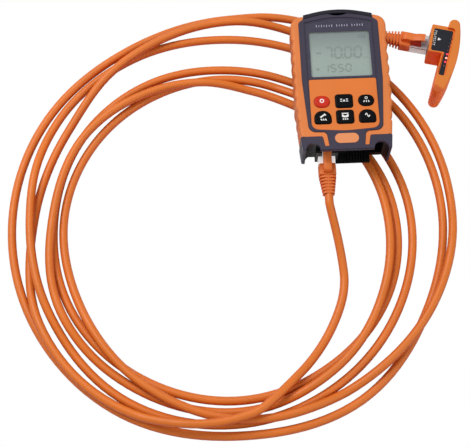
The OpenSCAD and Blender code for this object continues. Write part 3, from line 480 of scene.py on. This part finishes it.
def applyTree(obj, tree, values):
    modifier = obj.modifiers.new("row", "NODES")
    modifier.node_group = tree
    for item in tree.interface.items_tree:
        if item.item_type == "SOCKET" and item.in_out == "INPUT" and item.name in values:
            modifier[item.identifier] = values[item.name]
    bpy.context.view_layer.update()
    made = bpy.data.meshes.new_from_object(obj.evaluated_get(bpy.context.evaluated_depsgraph_get()))
    obj.modifiers.remove(modifier)
    plain = obj.data
    obj.data = made
    bpy.data.meshes.remove(plain)


def rowOf(name, solid, count, step, lastScale, material, body, place, smooth=False):
    obj = newPiece(name, *solid, finish[material], body, smooth)
    values = {"Count": count, "Step": Vector(step) * mm, "Last Scale": lastScale,
              "Material": finish[material]}
    applyTree(obj, pieceRow, values)
    obj.data.transform(place)
    return obj


# patch cord: a coil about a centre, its radius given at each station of its turn, with a lead at each end;
# a hump (turn, from, to, layers) lifts it over the strands below. Angles in degrees, lengths in millimetres
# apart from the diameter and the centre
cordPlan = {
    "diameter": 0.006,
    "bevel": 5,
    "centre": (-0.1062, -0.083),
    "start": -90,
    "end": -2070,
    "station": 30,
    "step": 2.5,
    "before": 114,
    "after": 161,
    "radii": [147, 159.5, 156.5, 141.5, 136, 142, 148.5,
              149, 151, 152, 151, 148.5, 148, 138, 126.5, 120.5, 114, 108, 104,
              100, 97.5, 104.5, 116, 131, 141.5, 142.5, 140, 127.5, 121.5, 109, 97.5,
              93, 101.5, 111, 120.5, 127.5, 134, 135, 133.5, 127.5, 124, 118.5, 111.5,
              109.5, 114, 122, 130.5, 140.5, 149.5, 153, 147.5, 143.5, 146.5, 142.5, 137,
              136, 141.5, 145, 149, 158, 157.5, 161.5, 160, 157, 154, 150.5, 154],
    "layer": 6.6,
    "ramp": 22,
    "humps": [(1, -80, -104, 2), (1, -80, -146, 1), (1, -232, -272, 1), (2, -16, -48, 1),
              (2, -76, -138, 1), (3, 50, -64, 1), (3, -152, -258, 1), (5, -160, -188, 1.1)],
    "meterLead": [(-41.4, -79.2, 20.5), (-41.4, -85.2, 20.5), (-39.7, -93, 17), (-36.7, -106, 11),
                  (-34.2, -121, 6), (-33.2, -136, 3.2), (-35.7, -150, 3), (-41.7, -165, 3),
                  (-50.2, -180, 4), (-60.7, -194, 7), (-72.2, -206, 11), (-83.2, -216.5, 14.5),
                  (-93.2, -224.5, 16)],
    "remoteLead": [(-90.2, 72, 3), (-78.2, 72, 3), (-66.2, 70.5, 3), (-54.2, 67.7, 3), (-42.2, 63.5, 3),
                   (-33.2, 60, 3), (-23.2, 56, 4.5), (-13.2, 52.5, 7.5), (-5.2, 50.2, 10.2),
                   (0.573, 48.697, 11), (6.395, 47.246, 11)],
    "inward": (-0.956, -0.29, 0.0),
    "outward": (0.998, 0.068, 0.0),
}


def catmull(a, b, c, d, f):
    # a smooth way from b to c, for f from 0 to 1
    return 0.5 * (2 * b + (c - a) * f + (2 * a - 5 * b + 4 * c - d) * f * f
                  + (3 * b - a - 3 * c + d) * f ** 3)


def coilRadius(plan, t):
    radii = [plan["before"]] + plan["radii"] + [plan["after"]]
    u = (plan["start"] - t) / plan["station"]
    i = min(max(math.floor(u), 0), len(plan["radii"]) - 2)
    return catmull(*radii[i:i + 4], u - i)


def coilLift(plan, t):
    high = 0
    for turn, a, b, share in plan["humps"]:
        a -= 360 * (turn - 1)
        b -= 360 * (turn - 1)
        away = max(0, t - a, b - t) / plan["ramp"]
        q = min(max(1 - away, 0), 1)
        high = max(high, share * plan["layer"] * q * q * (3 - 2 * q))
    return high


def coilPoint(plan, t):
    r = coilRadius(plan, t) * mm
    a = math.radians(t)
    cx, cy = plan["centre"]
    return Vector((cx + r * math.cos(a), cy + r * math.sin(a), plan["diameter"] / 2 + coilLift(plan, t) * mm))


def thicken(points, parts=4):
    # more points on a smooth way through these, straight in the first and the last stretch
    out = []
    for i in range(len(points) - 1):
        a, b, c, d = (points[min(max(i + k, 0), len(points) - 1)] for k in (-1, 0, 1, 2))
        straight = i == 0 or i == len(points) - 2
        for k in range(parts):
            f = k / parts
            out.append(b.lerp(c, f) if straight else catmull(a, b, c, d, f))
    out.append(points[-1])
    return out


def cordRoute(plan):
    steps = int((plan["start"] - plan["end"]) / plan["step"])
    coil = [coilPoint(plan, plan["start"] - plan["step"] * i) for i in range(steps + 1)]
    back = Vector(plan["inward"]) * plan["diameter"]
    ahead = Vector(plan["outward"]) * plan["diameter"]
    first = [Vector(p) * mm for p in plan["meterLead"]] + [coil[0] - back, coil[0]]
    last = [coil[-1], coil[-1] + ahead] + [Vector(p) * mm for p in plan["remoteLead"]]
    return thicken(first)[:-1] + coil + thicken(last)[1:]


def makeCord(plan, material):
    route = cordRoute(plan)
    data = bpy.data.curves.new("patchCord", "CURVE")
    data.dimensions = "3D"
    data.bevel_depth = plan["diameter"] / 2
    data.bevel_resolution = plan["bevel"]
    data.use_fill_caps = True
    line = data.splines.new("POLY")
    line.points.add(len(route) - 1)
    for p, v in zip(line.points, route):
        p.co = (*v, 1)
    line.use_smooth = True
    data.materials.append(material)
    obj = bpy.data.objects.new("patchCord", data)
    scene.collection.objects.link(obj)
    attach(obj, "meter")
    return obj, sum((b - a).length for a, b in zip(route, route[1:]))


patchCord, cordLength = makeCord(cordPlan, finish["cord"])
print("cord laid, metres:", round(cordLength, 3))

# stage and light: the floor is plain white to the camera and a soft grey to the light
stagePlan = {
    "half": 4.0,
    "level": -0.0003,
    "grey": 0.86,
    "rough": 0.9,
}
lightPlan = {
    "sky": 0.4,
    "aim": (-0.1, -0.05, 0),
    "size": 0.9,
    "lamps": [("keyLight", (-0.7, 0.5, 1.3), 15), ("fillLight", (0.9, -0.6, 1.0), 4)],
}


def makeStage(plan):
    mat, tree, shader, coords = newMaterial("stageWhite")
    shader.inputs["Base Color"].default_value = (plan["grey"], plan["grey"], plan["grey"], 1)
    shader.inputs["Roughness"].default_value = plan["rough"]
    shader.inputs["Specular IOR Level"].default_value = 0.0
    paths = tree.nodes.new("ShaderNodeLightPath").outputs
    seen = addMath(tree, "MAXIMUM", paths["Is Camera Ray"], paths["Is Transmission Ray"])
    white = tree.nodes.new("ShaderNodeEmission")
    white.inputs["Color"].default_value = (1, 1, 1, 1)
    white.inputs["Strength"].default_value = 1.0
    choose = tree.nodes.new("ShaderNodeMixShader")
    tree.links.new(seen, choose.inputs[0])
    tree.links.new(shader.outputs["BSDF"], choose.inputs[1])
    tree.links.new(white.outputs["Emission"], choose.inputs[2])
    tree.links.new(choose.outputs["Shader"], tree.nodes["Material Output"].inputs["Surface"])
    half = plan["half"]
    mesh = bpy.data.meshes.new("floor")
    corners = [(x, y, plan["level"]) for x, y in cornersOf(-half, -half, half, half)]
    mesh.from_pydata(corners, [], [(0, 1, 2, 3)])
    mesh.materials.append(mat)
    floor = bpy.data.objects.new("floor", mesh)
    scene.collection.objects.link(floor)


def areaLight(name, place, aim, size, power):
    data = bpy.data.lights.new(name, "AREA")
    data.shape = "RECTANGLE"
    data.size = data.size_y = size
    data.energy = power
    lamp = bpy.data.objects.new(name, data)
    scene.collection.objects.link(lamp)
    place = Vector(place)
    turn = (place - Vector(aim)).to_track_quat("Z", "Y").to_matrix().to_4x4()
    lamp.matrix_world = Matrix.Translation(place) @ turn


def makeLight(plan):
    world = bpy.data.worlds.new("studio")
    scene.world = world
    world.use_nodes = True
    back = world.node_tree.nodes["Background"]
    back.inputs["Color"].default_value = (1, 1, 1, 1)
    back.inputs["Strength"].default_value = plan["sky"]
    for name, place, power in plan["lamps"]:
        areaLight(name, place, plan["aim"], plan["size"], power)
    scene.view_settings.view_transform = "Standard"


makeStage(stagePlan)
makeLight(lightPlan)
print("stage and light set")

# materials of the carried-over pieces
nodeFinish = {
    "casing": ["rear_shell", "front_shell", "battery_door"],
    "grip": ["grip_left", "grip_right"],
    "panel": ["keypad_panel"],
    "window": ["lcd_window"],
    "display": ["lcd_module"],
    "keyRed": ["key_power"],
    "keyBlack": ["key_reference", "key_laser", "key_lamp", "key_unit", "key_wave"],
    "silicone": ["key_mat"],
    "badge": ["badge_plate"],
    "cover": ["dust_cover"],
    "steel": ["cover_hinge_pin", "case_screws", "remote_screws", "battery_contacts"],
    "nickel": ["optical_port", "laser_port"],
    "lampClear": ["lamp_lens"],
    "board": ["main_board", "remote_board"],
    "black": ["meter_jack", "remote_jack", "port_block"],
    "gold": ["meter_jack_contacts", "remote_jack_contacts", "meter_plug_contacts", "remote_plug_contacts"],
    "cell": ["battery_cells"],
    "remote": ["remote_shell", "remote_back_shell"],
    "label": ["remote_label"],
    "clear": ["remote_plug", "meter_plug_latch", "remote_plug_latch"],
    # painted light: the meter's plug takes the glowing clear finish
    "clearPaintedGlow": ["meter_plug"],
    "boot": ["meter_plug_boot", "remote_plug_boot"],
    "lightOff": ["remote_lights"],
    "cord": ["cord_lead_meter", "cord_coil", "cord_lead_remote"],
}
for key, names in nodeFinish.items():
    for name in names:
        for slot in nodes[name].material_slots:
            slot.material = finish[key]
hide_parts("cord_lead_meter", "cord_coil", "cord_lead_remote")
print("carried-over pieces finished")


# flat printed shapes, each between a low and a high level
class FlatShape:
    def __init__(self, place):
        self.place = place
        self.verts = []
        self.faces = []

    def prism(self, outline, low, high):
        base = len(self.verts)
        n = len(outline)
        self.verts += [self.place(x, y, z) for z in (low, high) for x, y in outline]
        self.faces.append(tuple(base + i for i in range(n - 1, -1, -1)))
        self.faces.append(tuple(base + n + i for i in range(n)))
        for i in range(n):
            k = (i + 1) % n
            self.faces.append((base + i, base + k, base + n + k, base + n + i))

    def ribbon(self, points, width, low, high, closed=False):
        n = len(points)
        last = n if closed else n - 1
        left, right = [], []
        for i in range(n):
            a = Vector(points[i - 1 if closed or i else 0])
            b = Vector(points[(i + 1) % n if closed else min(i + 1, n - 1)])
            d = (b - a).normalized()
            side = Vector((-d.y, d.x)) * width / 2
            p = Vector(points[i])
            left.append(p + side)
            right.append(p - side)
        for i in range(last):
            k = (i + 1) % n
            self.prism([right[i], right[k], left[k], left[i]], low, high)

    def ring(self, x, y, r, width, low, high, n=32):
        turns = [2 * math.pi * i / n for i in range(n)]
        self.ribbon([(x + r * math.cos(t), y + r * math.sin(t)) for t in turns], width, low, high, True)

    def make(self, name, material, body):
        return newPiece(name, self.verts, self.faces, material, body)


# display: glass, printed border, ticks, digits. Here and below an outline is width, height, corner radius
# and steps in a corner; a dash is its start, its length and its width
displayPlan = {
    "middle": 19.2,
    "view": (42.6, 35.6, 1.4, 8),
    "glass": (43.4, 36.4, 0.4, 3),
    "glassLevel": (25.6, 26.0),
    "inkLevel": (26.0, 26.03),
    "borderLevel": (27.4, 27.44),
    "borderStep": 1.5,
    "lens": {"width": 46.8, "low": 0.2, "side": 43.4, "peak": 48.5, "crown": 72},
    "ticks": {"groups": (7, 5, 5), "pitch": 1.83, "gap": 1.7, "height": 1.9, "short": 0.6, "stroke": 0.45,
              "middle": 41.7, "shift": 0.8, "level": (27.44, 27.46)},
    "slant": 0.06,
    "cut": 0.3,
    "numbers": [
        {"text": "-7000", "at": (-17.6, 16.6), "size": (4.6, 8.5), "pitch": 6.9, "stroke": 1.6},
        {"text": "1550", "at": (-12.6, 5.9), "size": (3.4, 5.5), "pitch": 5.3, "stroke": 1.15},
    ],
    "point": (1.4, 15.7, 2.6, 16.9),
    "dashes": [(-16.2, 33.6, 2.0, 0.5), (-13.4, 33.6, 2.6, 0.5), (-9.8, 33.6, 2.2, 0.5),
               (-15.4, 31.6, 3.2, 0.5), (16.4, 16.4, 1.3, 0.6), (18.1, 16.4, 1.6, 0.6),
               (-17.6, 8.2, 2.2, 1.8)],
    "cell": {"box": (13.5, 31.9, 18.9, 34.9), "stroke": 0.5, "bar": (14.1, 32.4, 15.3, 34.4), "bars": 3,
             "pitch": 1.6},
}
segments = {"0": "abcdef", "1": "bc", "5": "afgcd", "7": "abc", "-": "g"}


def drawDigit(shape, plan, row, char, x, y):
    w, h = row["size"]
    lines = {
        "a": [(0, h), (w, h)], "b": [(w, h), (w, h / 2)], "c": [(w, h / 2), (w, 0)], "d": [(0, 0), (w, 0)],
        "e": [(0, 0), (0, h / 2)], "f": [(0, h / 2), (0, h)], "g": [(0, h / 2), (w, h / 2)],
    }
    for s in segments[char]:
        a, b = (Vector((x + dx + plan["slant"] * dy, y + dy)) for dx, dy in lines[s])
        cut = (b - a).normalized() * row["stroke"] * plan["cut"]
        shape.ribbon([a + cut, b - cut], row["stroke"], *plan["inkLevel"])


def finer(ring, step):
    # the same closed outline with no side longer than the step
    out = []
    for (x0, y0), (x1, y1) in zip(ring, ring[1:] + ring[:1]):
        parts = max(1, math.ceil(math.hypot(x1 - x0, y1 - y0) / step))
        out += [(x0 + (x1 - x0) * i / parts, y0 + (y1 - y0) * i / parts) for i in range(parts)]
    return out


def lensRoof(lens, x):
    # upper edge of the lens: two straight slopes joined by a wide arc
    half = lens["width"] / 2
    slope = math.atan((lens["peak"] - lens["side"]) / half)
    x = abs(x)
    if x > lens["crown"] * math.sin(slope):
        return lens["side"] + (half - x) * math.tan(slope)
    drop = lens["crown"] * (1 / math.cos(slope) - 1)
    return lens["peak"] - drop - lens["crown"] + math.sqrt(lens["crown"] ** 2 - x * x)


def makeBorder(plan):
    # a flat frame from the view's outline to the lens's
    w, h = plan["view"][:2]
    lens = plan["lens"]
    inner = finer(shifted(roundedRing(*plan["view"]), 0, plan["middle"]), plan["borderStep"])
    outer = []
    for x, y in inner:
        dx = x / (w / 2)
        dy = (y - plan["middle"]) / (h / 2)
        m = max(abs(dx), abs(dy))
        x = dx / m * lens["width"] / 2
        outer.append((x, lens["low"] + (lensRoof(lens, x) - lens["low"]) * (dy / m + 1) / 2))
    n = len(inner)
    verts = [onMeter(x, y, z) for z in plan["borderLevel"] for ring in (inner, outer) for x, y in ring]
    faces = []
    for i in range(n):
        k = (i + 1) % n
        faces.append((2 * n + i, 2 * n + k, 3 * n + k, 3 * n + i))
        faces.append((k, i, n + i, n + k))
        faces.append((i, k, 2 * n + k, 2 * n + i))
        faces.append((n + k, n + i, 3 * n + i, 3 * n + k))
    newPiece("windowBorder", verts, faces, finish["border"], "meter")


def makeTicks(row):
    # a plain row of ticks above the display, every second one short
    ticks = FlatShape(onMeter)
    middle = row["middle"]
    x = row["shift"] - (row["pitch"] * (sum(row["groups"]) - 1) + row["gap"] * (len(row["groups"]) - 1)) / 2
    for group in row["groups"]:
        for i in range(group):
            high = row["height"] * (1 if i % 2 == 0 else row["short"])
            ticks.ribbon([(x, middle - high / 2), (x, middle + high / 2)], row["stroke"], *row["level"])
            x += row["pitch"]
        x += row["gap"]
    ticks.make("browTicks", finish["faint"], "meter")


def makeDigits(plan):
    # two numbers, the decimal point, level bars at the top, unit dashes and a small square
    digits = FlatShape(onMeter)
    for row in plan["numbers"]:
        x, y = row["at"]
        for i, char in enumerate(row["text"]):
            drawDigit(digits, plan, row, char, x + i * row["pitch"], y)
    digits.prism(cornersOf(*plan["point"]), *plan["inkLevel"])
    for x, y, length, stroke in plan["dashes"]:
        digits.ribbon([(x, y), (x + length, y)], stroke, *plan["inkLevel"])
    digits.make("displayDigits", finish["digit"], "meter")


def makeCellSymbol(plan, level):
    symbol = FlatShape(onMeter)
    symbol.ribbon(cornersOf(*plan["box"]), plan["stroke"], *level, closed=True)
    for i in range(plan["bars"]):
        symbol.prism(shifted(cornersOf(*plan["bar"]), i * plan["pitch"], 0), *level)
    symbol.make("displaySymbol", finish["faintInk"], "meter")


def makeDisplay(plan):
    glass = FlatShape(onMeter)
    glass.prism(shifted(roundedRing(*plan["glass"]), 0, plan["middle"]), *plan["glassLevel"])
    glass.make("displayGlass", finish["display"], "meter")
    makeBorder(plan)
    makeTicks(plan["ticks"])
    makeDigits(plan)
    makeCellSymbol(plan["cell"], plan["inkLevel"])


makeDisplay(displayPlan)
print("display made")

# marks on the keys, in millimetres from the key's middle: rings (place, radius, width), filled outlines and
# strokes of one width
markPlan = {
    "columns": 15.4,
    "rows": 12.0,
    "top": -17.8,
    "level": (28.2, 28.23),
    "marks": {
        # a ring
        "powerMark": {"key": (-1, 0), "body": "key_power_body", "rings": [(0, 0.35, 1.2, 0.7)]},
        # a level mark between two pairs of bars
        "referenceMark": {
            "key": (0, 0), "body": "key_reference_body", "width": 0.62,
            "strokes": [[(side * 1.3, y), (side * 2.7, y)] for side in (-1, 1) for y in (-0.45, 1.05)],
            "fills": [[(-0.85, -0.7), (0.85, -0.7), (0, 1.2)]],
        },
        # a small lamp with three rays below
        "laserMark": {
            "key": (1, 0), "body": "key_laser_body", "width": 0.65,
            "rings": [(0, 1.5, 0.8, 0.4)],
            "strokes": [[(x * 0.8, -0.4), (x * 1.2, -1.7)] for x in (-1.6, 0, 1.6)],
        },
        # a torch over three slanting strokes
        "lampMark": {
            "key": (-1, 1), "body": "key_lamp_body", "width": 0.75,
            "fills": [[(-2.2, 0.1), (-1.5, -0.7), (0.9, 1.0), (0.2, 1.8)],
                      [(0.3, 2.1), (1.3, 0.9), (2.3, 1.3), (1.4, 2.6)]],
            "strokes": [[(x, -1.4), (x + 0.8, -2.6)] for x in (-1.6, -0.1, 1.4)],
        },
        # a screen with a notch and a bar above, over three blocks
        "unitMark": {
            "key": (0, 1), "body": "key_unit_body", "width": 0.9,
            "fills": [[(-2.3, -0.2), (-1.3, -0.8), (1.3, -0.8), (2.3, -0.2), (2.3, 1.4), (1.5, 1.4),
                       (0.7, 0.5), (-0.7, 0.5), (-1.5, 1.4), (-2.3, 1.4)],
                      cornersOf(-2.3, 1.85, 2.3, 2.55)],
            "strokes": [[(x, -2.1), (x + 1.0, -2.1)] for x in (-1.9, -0.5, 0.9)],
        },
        # one wave
        "waveMark": {
            "key": (1, 1), "body": "key_wave_body", "width": 0.6,
            "strokes": [[(-1.5 + 3 * i / 24, 0.4 + 1.3 * math.sin(2 * math.pi * i / 24)) for i in range(25)]],
        },
    },
}


def makeMarks(plan):
    level = plan["level"]
    for name, mark in plan["marks"].items():
        column, row = mark["key"]
        x, y = column * plan["columns"], plan["top"] - row * plan["rows"]
        shape = FlatShape(onMeter)
        for dx, dy, radius, width in mark.get("rings", []):
            shape.ring(x + dx, y + dy, radius, width, *level)
        for fill in mark.get("fills", []):
            shape.prism(shifted(fill, x, y), *level)
        for stroke in mark.get("strokes", []):
            shape.ribbon(shifted(stroke, x, y), mark["width"], *level)
        shape.make(name, finish["print"], mark["body"])


makeMarks(markPlan)
print("key marks made")

# remote: arrow, dashes and a row of domed lights on the bow; a dome is (share of the radius, level) and
# a lit light has its number and its material slot
remotePlan = {
    "level": (23.5, 23.53),
    "arrow": [(5.6, 0.9), (8.0, -0.3), (5.6, -1.5)],
    "dashes": {"at": (3.3, 6.4), "count": 8, "pitch": 1.6, "long": 1.05, "short": 0.5, "apart": 0.5,
               "stroke": 0.38},
    "lights": 8,
    "first": (13.5, 1.6),
    "step": (-0.05, -3.2),
    "pivot": (13, -21),
    "lean": -4.4,
    "circle": (1.6, 1.6, 0.8, 4),
    "dome": [(1, 21.9), (1, 23.55), (0.86, 23.63), (0.5, 23.67)],
    "lit": {4: 1, 5: 2, 6: 1},
    "sharp": 50,
}


def onBow(plan, x, y):
    # a point of the bow, which leans from the jack block
    turn = Matrix.Rotation(math.radians(plan["lean"]), 2)
    return Vector(plan["pivot"]) + turn @ (Vector((x, y)) - Vector(plan["pivot"]))


def makeRemoteMark(plan):
    mark = FlatShape(onRemote)
    mark.prism(plan["arrow"], *plan["level"])
    row = plan["dashes"]
    x, y = row["at"]
    for i in range(row["count"]):
        for k, side in enumerate((-row["apart"], row["apart"])):
            top = y - i * row["pitch"]
            dash = row["long"] * (1 if (i + k) % 3 else row["short"])
            mark.ribbon([(x + side, top), (x + side, top - dash)], row["stroke"], *plan["level"])
    mark.make("remoteMark", finish["print"], "remote")


def makeRemoteLights(plan):
    solids, kinds = [], []
    circle = roundedRing(*plan["circle"])
    for i in range(plan["lights"]):
        x, y = onBow(plan, plan["first"][0] + plan["step"][0] * i, plan["first"][1] + plan["step"][1] * i)
        rings = [[onRemote(x + a * r, y + b * r, z) for a, b in circle] for r, z in plan["dome"]]
        solids.append(loftRings(rings))
        kinds += [plan["lit"].get(i, 0)] * len(solids[-1][1])
    lights = newPiece("remoteLights", *joinSolids(solids), finish["lightOff"], "remote", smooth=True)
    lights.data.materials.append(finish["lightDim"])
    lights.data.materials.append(finish["lightOn"])
    for p, kind in zip(lights.data.polygons, kinds):
        p.material_index = kind
    lights.data.set_sharp_from_angle(angle=math.radians(plan["sharp"]))
    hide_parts("remote_lights")


makeRemoteMark(remotePlan)
makeRemoteLights(remotePlan)
print("remote made")

# boots of the two plugs: tail at the origin, nose along X, latch on top. Widths, edges, ends and the hood's
# top each start with their place on X
bootPlan = {
    "rides": "meter",
    "sharp": 40,
    "core": {"widths": [(0, 6.1), (0.5, 6.6), (13.6, 8.6)], "high": 0.95, "round": 0.36, "steps": 5},
    "block": {"size": (12.0, 9.4), "round": (1.6, 5),
              "edges": [(13.4, 0.7), (13.75, 0.1), (14.4, 0), (21.4, 0), (21.7, 0.4)]},
    "fins": {"count": 6, "pitch": 2.25, "thick": 1.25, "outline": (8.3, 7.0, 1.8, 5), "last": (11.6, 9.0)},
    "spine": {"outline": (1.1, 0.9, 0.3, 3), "ends": [(0.2, 3.0), (13.6, 4.0)]},
    "hood": {"width": 5.8, "thick": 1.0, "free": 21.7, "root": 2, "edge": [(0, 0.5), (0.18, 0.15), (0.6, 0)],
             "top": [(14.3, 4.5), (14.8, 7.6), (16, 8.7), (18.5, 9.2), (21.5, 8.8), (24, 9.1), (27, 10.3),
                     (29, 10.8), (31.1, 10.9)]},
    "legs": {"side": [(21.5, 4.1), (29.4, 4.1), (28.8, 10.0), (25.5, 8.4), (21.5, 8.0)], "outer": 2.55,
             "wall": 1.0, "foot": 5, "flare": {"meter": 0.0, "remote": 2.2}},
    "sheath": {"span": (21.5, 29.4), "middle": 1.9,
               "outline": {"meter": (5.0, 3.6, 1.2, 4), "remote": (8.0, 3.6, 1.2, 4)}},
    "strands": {"count": 8, "pitch": 1.02, "outline": (0.8, 0.8, 0.4, 2), "first": (-3.6, -0.6),
                "span": {"meter": (27.2, 40.5), "remote": (22.2, 40.5)}},
}


def hoodSection(hood, x, top):
    # thick at the root, a thin strip where it runs out free over the latch
    half = hood["width"] / 2
    low = top - hood["thick"] if x > hood["free"] else hood["root"]
    right = [(half, low)] + [(half - a, top - b) for a, b in hood["edge"]]
    return right + [(-a, b) for a, b in reversed(right)]


def bootSolids(plan):
    core, block, spine, hood = plan["core"], plan["block"], plan["spine"], plan["hood"]
    solids = [loftAlong([(x, roundedRing(w, w * core["high"], w * core["round"], core["steps"]))
                         for x, w in core["widths"]])]
    w, h = block["size"]
    solids.append(loftAlong([(x, roundedRing(w - i, h - i, *block["round"])) for x, i in block["edges"]]))
    # spines above and below hold the fins together
    ring = roundedRing(*spine["outline"])
    for side in (-1, 1):
        solids.append(loftAlong([(x, shifted(ring, 0, side * away)) for x, away in spine["ends"]]))
    solids.append(loftAlong([(x, hoodSection(hood, x, top)) for x, top in hood["top"]]))
    return solids


def legSolids(plan, which):
    # side walls below the hood, their feet spread by the flare, and the cord's sheath between them, all in
    # the dark painted-shade copy of the boot's orange
    legs, sheath = plan["legs"], plan["sheath"]
    solids = []
    for side in (-1, 1):
        y0, y1 = sorted((side * legs["outer"], side * (legs["outer"] - legs["wall"])))
        verts, faces = prismSolid(legs["side"], y0, y1, "Y")
        spread = side * legs["flare"][which] * mm
        verts = [(v.x, v.y + (spread if v.z < legs["foot"] * mm else 0), v.z) for v in verts]
        solids.append((verts, faces))
    ring = shifted(roundedRing(*sheath["outline"][which]), 0, sheath["middle"])
    solids.append(loftAlong([(x, ring) for x in sheath["span"]]))
    return solids


def makeBoot(plan, which):
    place = plugPlaces[which]
    body = plan["rides"]
    boot = newPiece(which + "Boot", *joinSolids(bootSolids(plan)), finish["boot"], body, smooth=True)
    boot.data.transform(place)
    boot.data.set_sharp_from_angle(angle=math.radians(plan["sharp"]))
    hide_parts(which + "_plug_boot")

    row = plan["fins"]
    w, h = row["outline"][:2]
    grow = (1, row["last"][0] / w, row["last"][1] / h)
    fin = prismSolid(roundedRing(*row["outline"]), 0, row["thick"], "X")
    fins = rowOf(which + "BootFins", fin, row["count"], (row["pitch"], 0, 0), grow, "boot", body, place)

    # painted shade: the legs and the sheath take the dark shaded copy of the boot's orange
    legs = newPiece(which + "BootLegs", *joinSolids(legSolids(plan, which)), finish["bootPaintedShade"], body)
    legs.data.transform(place)

    row = plan["strands"]
    ring = shifted(roundedRing(*row["outline"]), *row["first"])
    wire = loftAlong([(x, ring) for x in row["span"][which]])
    strands = rowOf(which + "Strands", wire, row["count"], (0, row["pitch"], 0), (1, 1, 1), "strand", body,
                    place, smooth=True)
    return [boot, fins, legs, strands]


bootPieces = makeBoot(bootPlan, "meter") + makeBoot(bootPlan, "remote")
print("boots made:", len(bootPieces))

# ribs on the floor of the bay
bayPlan = {
    "outline": (0.8, 12.0, 0.3, 3),
    "height": 0.7,
    "first": (2.6, -47.4, 4.2),
    "count": 8,
    "pitch": 1.95,
}


def makeBayRibs(plan):
    solid = prismSolid(roundedRing(*plan["outline"]), 0, plan["height"])
    place = Matrix.Translation(onMeter(*plan["first"]))
    ribs = rowOf("bayRibs", solid, plan["count"], (plan["pitch"], 0, 0), (1, 1, 1), "black", "meter", place)


makeBayRibs(bayPlan)
print("bay ribs made")
